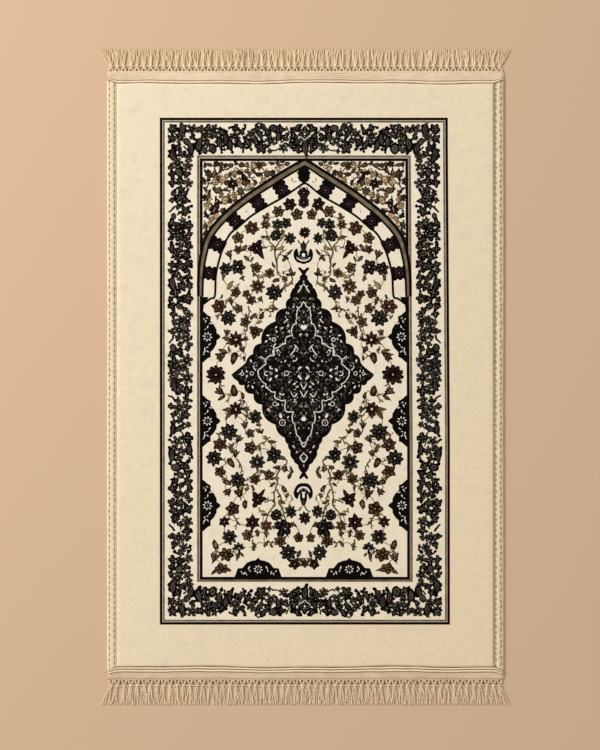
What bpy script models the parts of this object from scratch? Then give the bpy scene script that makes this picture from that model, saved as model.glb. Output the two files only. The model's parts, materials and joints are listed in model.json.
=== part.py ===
"""A prayer rug lying flat: a pile panel, two side bindings, two heading tapes and two knotted fringes.

Metres, +Z up. The long side runs along Y and the pointed arch of the design points to +Y.
The origin is the middle of the rug, at the floor.
"""

import bmesh
import bpy
import numpy as np

# Driving dimensions
RUG_WIDTH = 0.700  # over the two side bindings
RUG_LENGTH = 1.076  # over the two heading tapes
PILE_TOP = 0.0070  # floor to the tips of the pile
PIECE_GAP = 0.0003  # left between two pieces that touch

# The bare margin of backing cloth, which the bindings and the tapes cover
MARGIN_LOW = 0.0011
MARGIN_HIGH = 0.0021
MARGIN_INSET = 0.0025  # from the rug's outer edge to the margin's cut edge
PILE_ROUNDING = 0.0026  # how far in from its edge the pile reaches its full height
PANEL_STATIONS = 15  # places along half the width where its wavy ends are worked out

# Side bindings: a tape folded round the long edge
BINDING_WIDTH = 0.0175
BINDING_UNDER_WIDTH = 0.0135
BINDING_LEAF = 0.0008
BINDING_TOP = 0.0046
STITCH_DIP = 0.0009  # the two stitch rows pull the tape in by this much
OUTER_STITCH_ROW = 0.0032  # from the rug's outer edge
INNER_STITCH_ROW = 0.0148
BINDING_FOLD = 0.0016  # how far in the fold is rounded, at the floor
BINDING_WANDER = 0.0004  # sideways unevenness of the outer edge
BINDING_STATIONS = 14

# Heading tapes
TAPE_TOP = 0.0038
TAPE_EDGE_TOP = 0.0022  # at the outer edge, where the tape comes down to the floor
TAPE_EDGE_WIDTH = 0.0060  # the stretch on which it comes down
TAPE_WANDER = 0.0011  # the cords wander by this much along the rug's width
CORD_RISE = 0.0014
CORD_WIDTH = 0.0044
RIB_PITCH = 0.0034
RIB_RISE = 0.0003
RIB_START = 0.0014  # from the outer edge
TAPE_STATIONS = 15
CORNER_REACH = 0.0180  # length of the stretch where the cords curve outwards over a corner
CORNER_SWEEP = 0.0060  # how far they curve
CORNER_ROUND = 0.0016  # the outer corner is drawn in by this much
TAPE_END_ROUND = 0.0006  # the ends of the tape are rounded off over this length

# Knotted fringes
TASSELS = 60
LOCKS_PER_TASSEL = 2
FRINGE_THICK = 0.0019
LOCK_TIP_THICK = 0.0013
HEAD_ROW = 0.0013  # the woven edge along the tape
CHAIN_ROW = 0.0014  # the thread that ties the knots in a row
KNOT_WIDTH = 0.0030
KNOT_WANDER = 0.0006
APEX_WIDTH = 0.0008  # a gap is a triangle with its point at the tape
FRINGE_INSET = 0.0006  # the netted row ends this far inside the rug's edge
FORK = 0.0016  # the two locks of a tassel part this far below the knot
LOCK_SPACE = 0.0007  # between two locks of a tassel at their tips
TASSEL_SPACE = 0.0018  # between two tassels at their tips
BELLY_PLACE = 0.40  # at this share of its length a lock has reached the next share of its spread
BELLY_SPREAD = 0.58
TIP_WANDER = 0.0010
TIP_POINT = 0.0016  # the tip's middle stands out by this much
TIP_RAGGED = 0.0016  # the locks are cut unevenly by up to this much
CORNER_SPLAY = 0.0140  # the last locks lean out past the edge by this much
SPLAY_START = 0.310  # from the middle line, where they start to lean
WELD_DISTANCE = 0.00001

# One row for each end: the side of the rug that it is on, the tape's width, the middle of each
# rolled cord from the tape's outer edge, the length of the knotted row and of the tassels, and a
# phase that makes the two ends uneven in different ways.
ENDS = {
    "top": {
        "side": 1, "tape": 0.0222, "cords": (0.0193,),
        "netting": 0.0087, "locks": 0.0308, "phase": 0.6,
    },
    "bottom": {
        "side": -1, "tape": 0.0240, "cords": (0.0165, 0.0213),
        "netting": 0.0098, "locks": 0.0334, "phase": 2.1,
    },
}

# Colours (linear), roughness
FINISHES = {
    "pile_cloth": ((0.78, 0.66, 0.45), 0.95),
    "binding_tape": ((0.70, 0.58, 0.40), 0.90),
    "heading_tape": ((0.68, 0.54, 0.36), 0.90),
    "fringe_yarn": ((0.72, 0.56, 0.37), 0.92),
}

HALF_WIDTH = RUG_WIDTH / 2
PILE_HALF_WIDTH = HALF_WIDTH - BINDING_WIDTH - PIECE_GAP


def fringe_length(end):
    return ENDS[end]["netting"] + ENDS[end]["locks"]


def tape_outer_edge(end):
    """Distance from the rug's middle to the tape's outer edge, with the whole rug centred on its box."""
    other = "bottom" if end == "top" else "top"
    return (RUG_LENGTH + fringe_length(other) - fringe_length(end)) / 2


def smooth(t):
    t = np.clip(t, 0.0, 1.0)
    return t * t * (3.0 - 2.0 * t)


def wander(x, end):
    """How far the cords of a tape stray along the width: two slow waves that die out at the corners."""
    phase = ENDS[end]["phase"]
    wave = np.sin(17.0 * x + phase) + 0.6 * np.sin(39.0 * x + 2.3 * phase)
    return TAPE_WANDER * wave * (1.0 - smooth((np.abs(x) - 0.27) / 0.05))


def corner(x):
    return smooth((np.abs(x) - (HALF_WIDTH - CORNER_REACH)) / CORNER_REACH)


def tape_inner_edge(x, end):
    """Distance from the rug's middle to the edge of the tape that meets the pile and the bindings."""
    return tape_outer_edge(end) - ENDS[end]["tape"] + wander(x, end) + CORNER_SWEEP * corner(x)


def tape_rounded_edge(x, end):
    """Distance from the rug's middle to the tape's outer edge, which is drawn in at the corners."""
    return tape_outer_edge(end) - CORNER_ROUND * corner(x) ** 3


def swept_places():
    """Two places along the width, on the stretch where the tape sweeps over a corner."""
    return HALF_WIDTH - CORNER_REACH * np.array([0.72, 0.44])


def finish(name):
    colour, roughness = FINISHES[name]
    material = bpy.data.materials.get(name)
    if material is None:
        material = bpy.data.materials.new(name)
        material.use_nodes = True
        shader = material.node_tree.nodes["Principled BSDF"]
        shader.inputs["Base Color"].default_value = (*colour, 1.0)
        shader.inputs["Roughness"].default_value = roughness
        shader.inputs["Metallic"].default_value = 0.0
    return material


def add_piece(name, mesh, material, collection):
    piece = bpy.data.objects.new(name, mesh)
    piece.data.materials.append(finish(material))
    collection.objects.link(piece)
    return piece


def loft(name, rings):
    """A closed body through rings of equally many points, with a flat face over the first and last."""
    shape = bmesh.new()
    rows = [[shape.verts.new(point) for point in ring] for ring in rings]
    for near, far in zip(rows, rows[1:]):
        for i in range(len(near)):
            j = (i + 1) % len(near)
            shape.faces.new((near[i], near[j], far[j], far[i]))
    shape.faces.new(rows[0])
    shape.faces.new(rows[-1])
    bmesh.ops.recalc_face_normals(shape, faces=shape.faces)
    mesh = bpy.data.meshes.new(name)
    shape.to_mesh(mesh)
    shape.free()
    return mesh


# The panel


def panel_ring(height, inset, margin=False):
    """The panel's outline at one height: the pile's own edge, or the cut edge of its bare margin."""
    margin_edge = HALF_WIDTH - MARGIN_INSET
    half = [*np.linspace(0.0, 1.0, PANEL_STATIONS) * (HALF_WIDTH - CORNER_REACH), *swept_places(), margin_edge]
    x = np.array([-place for place in half[:0:-1]] + half)
    if margin:
        top, bottom = (tape_rounded_edge(x, end) - MARGIN_INSET for end in ENDS)
    else:
        x = x * PILE_HALF_WIDTH / margin_edge
        top, bottom = (tape_inner_edge(x, end) - PIECE_GAP - inset for end in ENDS)
        x = x * (1.0 - inset / PILE_HALF_WIDTH)
    y = np.concatenate([-bottom, top[::-1]])
    x = np.concatenate([x, x[::-1]])
    return np.stack([x, y, np.full_like(x, height)], axis=1)


def make_panel(collection):
    shoulder = PILE_TOP - PILE_ROUNDING
    rings = [panel_ring(0.0, 0.0004), panel_ring(MARGIN_LOW, 0.0)]
    rings += [panel_ring(MARGIN_LOW, 0.0, margin=True), panel_ring(MARGIN_HIGH, 0.0, margin=True)]
    rings += [panel_ring(MARGIN_HIGH, 0.0), panel_ring(shoulder, 0.0)]
    for share in (1 / 3, 2 / 3, 1.0):
        angle = share * np.pi / 2
        height = shoulder + PILE_ROUNDING * np.sin(angle)
        rings.append(panel_ring(height, PILE_ROUNDING * (1.0 - np.cos(angle))))
    return add_piece("plush_panel", loft("plush_panel", rings), "pile_cloth", collection)


# The side bindings


def binding_section():
    """The folded tape's section, as distances in from the rug's outer edge and heights."""
    upper_leaf = MARGIN_HIGH + PIECE_GAP
    fold_inside = MARGIN_INSET - PIECE_GAP
    table = [
        (BINDING_UNDER_WIDTH, 0.0),
        (BINDING_FOLD, 0.0),
        (BINDING_FOLD / 4, 0.0012),
        (0.0, 0.0026),
        (0.0008, BINDING_TOP - 0.0007),
        (0.0020, BINDING_TOP - 0.0002),
        (OUTER_STITCH_ROW, BINDING_TOP - STITCH_DIP),
        (OUTER_STITCH_ROW + 0.0016, BINDING_TOP),
        ((OUTER_STITCH_ROW + INNER_STITCH_ROW) / 2, BINDING_TOP + 0.0003),
        (INNER_STITCH_ROW - 0.0020, BINDING_TOP),
        (INNER_STITCH_ROW, BINDING_TOP - STITCH_DIP),
        (BINDING_WIDTH, BINDING_TOP - 0.0005),
        (BINDING_WIDTH, upper_leaf),
        (fold_inside, upper_leaf),
        (fold_inside, BINDING_LEAF),
        (BINDING_UNDER_WIDTH, BINDING_LEAF),
    ]
    return np.array(table)


def make_binding(name, side, collection):
    """The section is carried along the edge, its ends cut to the sweep of the tapes and its fold a little wavy."""
    inward, height = binding_section().T
    top, bottom = (tape_inner_edge(HALF_WIDTH - inward, end) - 2 * PIECE_GAP for end in ENDS)
    on_fold = inward < MARGIN_INSET - PIECE_GAP
    rings = []
    for share in np.linspace(0.0, 1.0, BINDING_STATIONS):
        y = -bottom + (top + bottom) * share
        stray = BINDING_WANDER * np.sin(3 * np.pi * share + side) * np.sin(np.pi * share)
        x = side * (HALF_WIDTH - inward + np.where(on_fold, stray, 0.0))
        rings.append(np.stack([x, y, height], axis=1))
    return add_piece(name, loft(name, rings), "binding_tape", collection)


# The heading tapes


def tape_section(end):
    """The tape's upper side, from its outer edge: ribs, then the rolled cords, as distances and heights."""
    row = ENDS[end]
    points = [(0.0, 0.0), (0.0, 0.8 * TAPE_EDGE_TOP), (RIB_START / 2, TAPE_EDGE_TOP)]
    ribbed = min(row["cords"]) - CORD_WIDTH / 2 - RIB_START
    ribs = int(ribbed / RIB_PITCH)
    for half_rib in range(2 * ribs):
        place = RIB_START + ribbed * half_rib / (2 * ribs)
        climb = smooth(place / TAPE_EDGE_WIDTH)
        crest = RIB_RISE * (half_rib % 2)
        points.append((place, TAPE_EDGE_TOP + (TAPE_TOP - TAPE_EDGE_TOP) * climb + crest))
    for middle in row["cords"]:
        points.append((middle - CORD_WIDTH / 2, TAPE_TOP - RIB_RISE))
        points.append((middle - CORD_WIDTH / 4, TAPE_TOP + CORD_RISE))
        points.append((middle + CORD_WIDTH / 4, TAPE_TOP + CORD_RISE))
    points.append((row["cords"][-1] + CORD_WIDTH / 2, TAPE_TOP))
    points.append((row["tape"], TAPE_TOP - RIB_RISE))
    return np.array(points)


def tape_ring(end, x, open_below, height_share):
    """The whole section at one place along the width. Where it is open below, the bare margin lies in it."""
    row = ENDS[end]
    top = tape_section(end)
    groove = MARGIN_INSET - PIECE_GAP
    under_height = MARGIN_HIGH + PIECE_GAP if open_below else 0.0
    under = [(row["tape"], under_height), (groove, under_height), (groove - PIECE_GAP, 0.0)]
    across = np.concatenate([top[:, 0], [place for place, _ in under]])
    height = np.concatenate([top[:, 1] * height_share, [rise for _, rise in under]])
    outer_edge = tape_rounded_edge(x, end)
    narrowed = (outer_edge - tape_inner_edge(x, end)) / row["tape"]
    y = row["side"] * (outer_edge - across * narrowed)
    return np.stack([np.full_like(y, x), y, height], axis=1)


def make_tape(end, collection):
    """The section is carried across the width. At each corner it is drawn together and closed to the floor."""
    closed_from = HALF_WIDTH - MARGIN_INSET + 2 * PIECE_GAP
    straight = np.linspace(0.0, 1.0, TAPE_STATIONS) * (HALF_WIDTH - CORNER_REACH)
    half = [(x, True, 1.0) for x in [*straight, *swept_places(), closed_from - PIECE_GAP]]
    half += [(closed_from, False, 1.0), (HALF_WIDTH - TAPE_END_ROUND, False, 0.88), (HALF_WIDTH, False, 0.62)]
    stations = [(-x, *rest) for x, *rest in half[:0:-1]] + half
    rings = [tape_ring(end, *station) for station in stations]
    name = "heading_tape_" + end
    return add_piece(name, loft(name, rings), "heading_tape", collection)


# The knotted fringes


def knot_places(end):
    """The knots are evenly spaced but for a small wander."""
    row_width = RUG_WIDTH - 2 * FRINGE_INSET
    number = np.arange(TASSELS)
    wobble = np.sin(2.4 * number + ENDS[end]["phase"]) + 0.5 * np.sin(5.3 * number)
    return (number + 0.5) * row_width / TASSELS - row_width / 2 + KNOT_WANDER * wobble


def tip_borders(end):
    """Where one lock gives way to the next at the tips, from -X to +X, leaning out at both corners."""
    count = TASSELS * LOCKS_PER_TASSEL
    uneven = np.random.default_rng(40 + ENDS[end]["side"]).uniform(-1.0, 1.0, count + 1)
    even = np.linspace(-1.0, 1.0, count + 1) * HALF_WIDTH
    splay = np.clip((np.abs(even) - SPLAY_START) / (HALF_WIDTH - SPLAY_START), 0.0, 1.0)
    borders = even + np.sign(even) * CORNER_SPLAY * splay**2
    borders[1:-1] += TIP_WANDER * uneven[1:-1]
    return borders


def fringe_outline(end):
    """One closed line round the netted row and every lock, as points across and distances from the rug's middle."""
    near = tape_outer_edge(end) + PIECE_GAP
    root = tape_outer_edge(end) + ENDS[end]["netting"]
    reach = ENDS[end]["locks"]
    knots = knot_places(end)
    borders = tip_borders(end)
    cut = np.random.default_rng(70 + ENDS[end]["side"]).uniform(0.0, TIP_RAGGED, len(borders))
    side = HALF_WIDTH - FRINGE_INSET
    belly = root + BELLY_PLACE * reach
    outline = [(side, near), (-side, near), (-side, root)]
    for lock in range(TASSELS * LOCKS_PER_TASSEL):
        knot = knots[lock // LOCKS_PER_TASSEL]
        first = lock % LOCKS_PER_TASSEL == 0
        space_left, space_right = (TASSEL_SPACE, LOCK_SPACE) if first else (LOCK_SPACE, TASSEL_SPACE)
        root_left, root_right = (knot - KNOT_WIDTH / 2, knot) if first else (knot, knot + KNOT_WIDTH / 2)
        left = borders[lock] + space_left / 2
        right = borders[lock + 1] - space_right / 2
        tip = root + reach - TIP_POINT - cut[lock]
        if first:
            outline.append((root_left, root))
        outline.append((root_left + BELLY_SPREAD * (left - root_left), belly))
        outline.append((left, tip))
        outline.append(((left + right) / 2, tip + TIP_POINT))
        outline.append((right, tip))
        outline.append((root_right + BELLY_SPREAD * (right - root_right), belly))
        outline.append((root_right, root + FORK) if first else (root_right, root))
    outline.append((side, root))
    return outline


def netting_gaps(end):
    """Between each two knots a three-cornered gap, its base on the chain thread and its point at the tape."""
    near = tape_outer_edge(end) + HEAD_ROW
    base = tape_outer_edge(end) + ENDS[end]["netting"] - CHAIN_ROW
    gaps = []
    knots = knot_places(end)
    for left, right in zip(knots, knots[1:]):
        base_left = left + KNOT_WIDTH / 2
        base_right = right - KNOT_WIDTH / 2
        point_left = (left + right - APEX_WIDTH) / 2
        point_right = (left + right + APEX_WIDTH) / 2
        gaps.append([(base_left, base), (base_right, base), (point_right, near), (point_left, near)])
    return gaps


def fringe_sheet(name, end, collection):
    """The outline and its gaps as a flat curve with a thickness, made a mesh with its caps welded on."""
    curve = bpy.data.curves.new(name, "CURVE")
    curve.dimensions = "2D"
    curve.fill_mode = "BOTH"
    curve.extrude = FRINGE_THICK / 2
    for points in [fringe_outline(end), *netting_gaps(end)]:
        spline = curve.splines.new("POLY")
        spline.points.add(len(points) - 1)
        for point, (x, y) in zip(spline.points, points):
            point.co = (x, ENDS[end]["side"] * y, 0.0, 1.0)
        spline.use_cyclic_u = True
    flat = bpy.data.objects.new(name + "_flat", curve)
    collection.objects.link(flat)
    graph = bpy.context.evaluated_depsgraph_get()
    mesh = bpy.data.meshes.new_from_object(flat.evaluated_get(graph))
    bpy.data.objects.remove(flat)
    mesh.materials.clear()
    return mesh


def make_fringe(end, collection):
    """It lies on the floor, as thick as its yarn, and thins from the knots to the tips."""
    name = "knotted_fringe_" + end
    mesh = fringe_sheet(name, end, collection)
    shape = bmesh.new()
    shape.from_mesh(mesh)
    bmesh.ops.remove_doubles(shape, verts=shape.verts, dist=WELD_DISTANCE)
    bmesh.ops.recalc_face_normals(shape, faces=shape.faces)
    root = tape_outer_edge(end) + ENDS[end]["netting"]
    for vert in shape.verts:
        along = (abs(vert.co.y) - root) / ENDS[end]["locks"]
        thick = FRINGE_THICK + (LOCK_TIP_THICK - FRINGE_THICK) * min(max(along, 0.0), 1.0)
        vert.co.z = thick if vert.co.z > 0.0 else 0.0
    shape.to_mesh(mesh)
    shape.free()
    return add_piece(name, mesh, "fringe_yarn", collection)


def main():
    for leftover in list(bpy.data.objects):
        bpy.data.objects.remove(leftover)
    collection = bpy.data.collections.new("prayer_rug")
    bpy.context.scene.collection.children.link(collection)
    make_panel(collection)
    make_binding("side_binding_left", -1, collection)
    make_binding("side_binding_right", 1, collection)
    for end in ENDS:
        make_tape(end, collection)
        make_fringe(end, collection)


main()
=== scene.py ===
import json
import math
import bpy
import numpy as np
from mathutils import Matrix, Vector

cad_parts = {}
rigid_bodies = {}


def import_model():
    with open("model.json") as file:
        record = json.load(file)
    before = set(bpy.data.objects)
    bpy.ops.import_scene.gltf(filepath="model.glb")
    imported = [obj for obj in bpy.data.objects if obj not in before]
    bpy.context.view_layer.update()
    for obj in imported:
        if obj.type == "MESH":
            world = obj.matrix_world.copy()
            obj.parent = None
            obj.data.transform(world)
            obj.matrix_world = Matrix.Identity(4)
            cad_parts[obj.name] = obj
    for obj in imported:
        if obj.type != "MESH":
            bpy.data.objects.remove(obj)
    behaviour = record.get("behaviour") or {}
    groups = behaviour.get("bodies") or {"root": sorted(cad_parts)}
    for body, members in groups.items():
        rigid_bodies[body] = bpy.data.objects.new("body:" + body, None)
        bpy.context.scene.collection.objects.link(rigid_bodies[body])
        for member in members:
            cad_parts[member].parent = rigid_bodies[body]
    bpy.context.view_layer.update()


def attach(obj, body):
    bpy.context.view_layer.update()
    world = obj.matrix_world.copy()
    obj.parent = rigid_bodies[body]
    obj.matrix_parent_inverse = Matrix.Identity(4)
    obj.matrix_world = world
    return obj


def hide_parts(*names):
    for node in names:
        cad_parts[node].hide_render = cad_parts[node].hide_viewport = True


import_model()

dice = np.random.default_rng(41)   # every uneven thing is drawn from this one, in the same order each run

# Sizes that the solids have too, in metres
rug = {
    "width": 0.700, "length": 1.076, "pileTop": 0.0070, "pieceGap": 0.0003,
    "bindingWidth": 0.0175, "bindingTop": 0.0046, "pileRounding": 0.0026,
    "cornerReach": 0.0180, "cornerSweep": 0.0060, "cornerRound": 0.0016, "tapeWander": 0.0011,
    "tassels": 60, "knotWander": 0.0006, "fringeInset": 0.0006, "cornerSplay": 0.0140,
    "splayStart": 0.310,
}
ends = {
    "top": {"side": 1, "tape": 0.0222, "cords": (0.0193,), "netting": 0.0087, "locks": 0.0308,
            "phase": 0.6, "shade": 1.0},
    "bottom": {"side": -1, "tape": 0.0240, "cords": (0.0165, 0.0213), "netting": 0.0098,
               "locks": 0.0334, "phase": 2.1, "shade": 0.3},
}
halfWidth = rug["width"] / 2
pileHalfWidth = halfWidth - rug["bindingWidth"] - rug["pieceGap"]

# The pattern is charted in tuft rows, 1.764 mm apart, from a middle a little off the rug's own. Each layer
# of dyed tufts stands a lift above the one under it. Its rim slopes over edge steps, and dips by sink below
# the pile
chart = {
    "step": 0.001764, "across": -0.00115, "along": 0.0082, "lift": 0.00014, "sink": 0.00020, "edge": 0.15,
}
borderMiddle = 1.45   # the border's own middle, in steps above the chart's


def smooth(t):
    # 3t^2 - 2t^3 between 0 and 1
    t = np.clip(t, 0, 1)
    return t * t * (3 - 2 * t)


def tapeOuterEdge(end):
    # distance from the rug's middle to where the fringe starts
    other = "bottom" if end == "top" else "top"
    fringeLength = ends[end]["netting"] + ends[end]["locks"]
    otherLength = ends[other]["netting"] + ends[other]["locks"]
    return (rug["length"] + otherLength - fringeLength) / 2


def wander(x, end):
    # sewn lines sway a millimetre: sin 17x + 0.6 sin 39x, dying out at the corners
    phase = ends[end]["phase"]
    wave = np.sin(17.0 * x + phase) + 0.6 * np.sin(39.0 * x + 2.3 * phase)
    return rug["tapeWander"] * wave * (1.0 - smooth((np.abs(x) - 0.27) / 0.05))


def corner(x):
    # 0 over most of the width, 1 at the side edges
    return smooth((np.abs(x) - (halfWidth - rug["cornerReach"])) / rug["cornerReach"])


def tapeInnerEdge(x, end):
    # where the pile ends: outer edge - tape + wander + sweep x corner
    return tapeOuterEdge(end) - ends[end]["tape"] + wander(x, end) + rug["cornerSweep"] * corner(x)


def pileHeight(x, y):
    # pile top plus three crossing sine waves 130 to 420 mm long
    wave = np.sin(20.3 * x + 0.7) * np.cos(15.0 * y - 0.4)
    wave = wave + 0.6 * np.sin(33.0 * (x + 0.6 * y) + 1.9) + 0.4 * np.sin(48.0 * (0.8 * x - y))
    return rug["pileTop"] + 0.00016 * wave


def buildMesh(name, parts):
    # parts is a list of (points, arrays of face corners); joins them all into one smooth-shaded object
    corners, starts, first, used = [], [], 0, 0
    for points, faceArrays in parts:
        for faces in faceArrays:
            corners.append((faces + first).ravel())
            starts.append(np.arange(len(faces)) * faces.shape[1] + used)
            used += faces.size
        first += points.size // 3
    points = np.concatenate([points.reshape(-1, 3) for points, faceArrays in parts])
    mesh = bpy.data.meshes.new(name)
    mesh.vertices.add(len(points))
    mesh.vertices.foreach_set("co", points.ravel().astype(np.float32))
    mesh.loops.add(used)
    mesh.loops.foreach_set("vertex_index", np.concatenate(corners).astype(np.int32))
    starts = np.concatenate(starts)
    mesh.polygons.add(len(starts))
    mesh.polygons.foreach_set("loop_start", starts.astype(np.int32))
    mesh.update(calc_edges=True)
    mesh.shade_smooth()
    piece = bpy.data.objects.new(name, mesh)
    bpy.context.scene.collection.objects.link(piece)
    return piece


def gridFaces(rows, columns, closeRows=False, closeColumns=False):
    # corners (i,j) (i+1,j) (i+1,j+1) (i,j+1) of a grid stored row by row
    i, j = np.meshgrid(np.arange(rows - 1 + closeRows), np.arange(columns - 1 + closeColumns), indexing="ij")
    down, over = (i + 1) % rows, (j + 1) % columns
    faces = [i * columns + j, down * columns + j, down * columns + over, i * columns + over]
    return np.stack(faces, -1).reshape(-1, 4)


def setBakeMap(piece, u, v):
    # the piece's own UV map, from one u and v a point
    corners = np.empty(len(piece.data.loops), np.int32)
    piece.data.loops.foreach_get("vertex_index", corners)
    layer = piece.data.uv_layers.new(name="OFBake")
    layer.data.foreach_set("uv", np.stack([u[corners], v[corners]], -1).astype(np.float32).ravel())


def repeatFaces(faces, count, stride):
    # the same faces for each of count shapes that hold stride points each
    return (faces[None] + (np.arange(count) * stride)[:, None, None]).reshape(-1, faces.shape[1])


dyedPile = {}   # for each dye, its shapes as (points, face arrays)

# A hand-laid chart is never quite even. In chart steps: how far the right half's field and its upper side
# lie nearer the middle, how far the field lies low, and how far the lower border lies high
sway = {"field": 2.1, "upperSide": 1.7, "low": 0.5, "foot": 0.8, "medallion": (54.0, 101.0)}


def swayed(across, up):
    # each part of the sway is faded in by a smooth step, and the medallion keeps its place
    out = np.hypot(across / sway["medallion"][0], up / sway["medallion"][1])
    beyond = smooth((out - 1.0) / 0.14)
    field = smooth((across - 3) / 17) * smooth((104 - across) / 44) * beyond
    side = smooth((across - 30) / 74) * np.clip((up + 30) / 250, -0.15, 1.05)
    low = smooth((200 - np.abs(up)) / 14) * beyond
    foot = smooth((-205 - up) / 14)
    nearer = across - sway["field"] * field - sway["upperSide"] * side
    return nearer, up - sway["low"] * low + sway["foot"] * foot


def onPile(flat, layer, sunk):
    # flat is (..., 2) in chart steps. z = pile height + layer x lift, or under the pile where sunk is true
    across, up = swayed(flat[..., 0], flat[..., 1])
    x = chart["across"] + chart["step"] * across
    y = chart["along"] + chart["step"] * up
    z = pileHeight(x, y) + np.where(sunk, -chart["sink"], chart["lift"] * layer)
    return np.stack([x, y, z], -1)


def keepShapes(dye, layer, flat, sunk, faceArrays):
    # shapes wait under their dye until all are drawn, then become one piece
    dyedPile.setdefault(dye, []).append((onPile(flat, layer, sunk), faceArrays))


def stacked(shapes):
    # one shape or many, as (shapes, rows, 2)
    shapes = np.asarray(shapes, float)
    return shapes.reshape((-1,) + shapes.shape[-2:])


def layDiscs(dye, layer, outlines, rings=(), middles=None):
    # each outline is seen whole from its middle. Ring = middle + share x (outline - middle), and the last
    # ring dips under the pile, so that the tuft edge closes
    outlines = stacked(outlines)
    count, rows = outlines.shape[:2]
    after = np.roll(outlines, -1, axis=1)
    area = (outlines[..., 0] * after[..., 1] - after[..., 0] * outlines[..., 1]).sum(1)
    outlines = np.where((area < 0)[:, None, None], outlines[:, ::-1], outlines)
    middle = outlines.mean(1, keepdims=True)
    if middles is not None:
        middle = np.asarray(middles, float).reshape(-1, 1, 2)
    spoke = outlines - middle
    reach = np.maximum(np.linalg.norm(spoke, axis=-1, keepdims=True), 1e-6)
    edge = np.minimum(chart["edge"] / reach, 0.45)
    shares = [np.full_like(edge, share) for share in rings] + [1 - edge, np.ones_like(edge)]
    flat = np.concatenate([middle] + [middle + share * spoke for share in shares], axis=1)
    stride = flat.shape[1]
    sunk = np.arange(stride) >= stride - rows
    k = np.arange(rows)
    around = (k + 1) % rows
    fan = np.stack([0 * k, 1 + k, 1 + around], -1)
    bands = []
    for ring in range(len(shares) - 1):
        inner = 1 + ring * rows
        outer = inner + rows
        bands.append(np.stack([inner + k, outer + k, outer + around, inner + around], -1))
    faceArrays = [repeatFaces(fan, count, stride), repeatFaces(np.concatenate(bands), count, stride)]
    keepShapes(dye, layer, flat, sunk, faceArrays)


def layRibbons(dye, layer, paths, widths):
    # widths holds the half width at each row of the paths. The section goes rim, edge, edge, rim across the
    # path, and the rims and both ends dip under the pile
    paths = stacked(paths)
    widths = np.broadcast_to(np.asarray(widths, float), paths.shape[:2])
    ahead = np.gradient(paths, axis=1)
    ahead = ahead / np.maximum(np.linalg.norm(ahead, axis=-1, keepdims=True), 1e-9)
    tip = 0.2
    paths = np.concatenate([paths[:, :1], paths[:, :1] + tip * ahead[:, :1], paths[:, 1:-1],
                            paths[:, -1:] - tip * ahead[:, -1:], paths[:, -1:]], axis=1)
    ahead = np.concatenate([ahead[:, :1], ahead, ahead[:, -1:]], axis=1)
    widths = np.concatenate([widths[:, :1], widths, widths[:, -1:]], axis=1)[..., None]
    left = np.stack([-ahead[..., 1], ahead[..., 0]], -1)
    edge = np.minimum(chart["edge"], 0.45 * widths)
    offsets = [-widths, edge - widths, widths - edge, widths]
    flat = np.stack([paths + offset * left for offset in offsets], axis=2)
    count, rows = flat.shape[:2]
    sunk = np.zeros((rows, 4), bool)
    sunk[:, [0, 3]] = True
    sunk[[0, -1]] = True
    faces = repeatFaces(gridFaces(rows, 4), count, rows * 4)
    keepShapes(dye, layer, flat, sunk, [faces])


def put(shape, places):
    # places has rows (across, up, turn in degrees, size). point = place + size x the shape, turned
    shape = np.asarray(shape, float)
    places = np.asarray(places, float).reshape(-1, 4)
    turn = np.radians(places[:, 2])
    c, s = np.cos(turn), np.sin(turn)
    matrix = np.stack([np.stack([c, s], -1), np.stack([-s, c], -1)], 1) * places[:, 3, None, None]
    turned = np.einsum("...k,nkj->n...j", shape, matrix)
    return turned + places[:, :2].reshape((-1,) + (1,) * (shape.ndim - 1) + (2,))


def lobes(count, depth=0.2, sharp=0.8):
    # r(angle) = 1 - depth + depth |cos(count x angle / 2)|^sharp
    angle = np.arange(count * 6) / (count * 6) * 2 * np.pi
    r = 1 - depth + depth * np.abs(np.cos(count * angle / 2)) ** sharp
    return np.stack([r * np.cos(angle), r * np.sin(angle)], -1)


def petal(start, end, width, widest=1.2, point=0.7, rows=12):
    # along = start..end by a cosine, across = width x sin(pi s^widest)^point
    angle = np.arange(rows) / rows * 2 * np.pi
    s = (1 - np.cos(angle)) / 2
    across = width * np.sin(np.pi * s ** widest) ** point * np.where(angle < np.pi, 1, -1)
    return np.stack([start + (end - start) * s, across], -1)


def curve(points, rows=12):
    # a smooth line through a few given points: the Catmull-Rom cubic between each two, at even steps
    p = np.asarray(points, float)
    p = np.concatenate([2 * p[:1] - p[1:2], p, 2 * p[-1:] - p[-2:-1]])
    t = np.linspace(0, len(p) - 3 - 1e-9, rows)
    i = t.astype(int)
    f = (t - i)[:, None]
    a, b, c, d = p[i], p[i + 1], p[i + 2], p[i + 3]
    bend, twist = 2 * a - 5 * b + 4 * c - d, 3 * b - a - 3 * c + d
    return 0.5 * (2 * b + (c - a) * f + bend * f ** 2 + twist * f ** 3)


def bowed(corners, bow, rows=6):
    # arcs between corner points, each bowed out to the right of its way:
    # point = a + t (b - a) + 4 t (1 - t) x bow x the chord turned a quarter
    corners = np.asarray(corners, float)
    bow = np.broadcast_to(np.asarray(bow, float), len(corners) - 1)
    chord = np.diff(corners, axis=0)
    normal = np.stack([chord[:, 1], -chord[:, 0]], -1) * bow[:, None]
    t = (np.arange(rows) / rows)[None, :, None]
    line = corners[:-1, None] + t * chord[:, None] + 4 * t * (1 - t) * normal[:, None]
    return np.concatenate([line.reshape(-1, 2), corners[-1:]])


def disc(radius=1.0, rows=14, across=0.0, up=0.0):
    # middle + radius x (cos, sin) at even angles
    angle = np.arange(rows) / rows * 2 * np.pi
    return np.stack([across + radius * np.cos(angle), up + radius * np.sin(angle)], -1)


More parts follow.
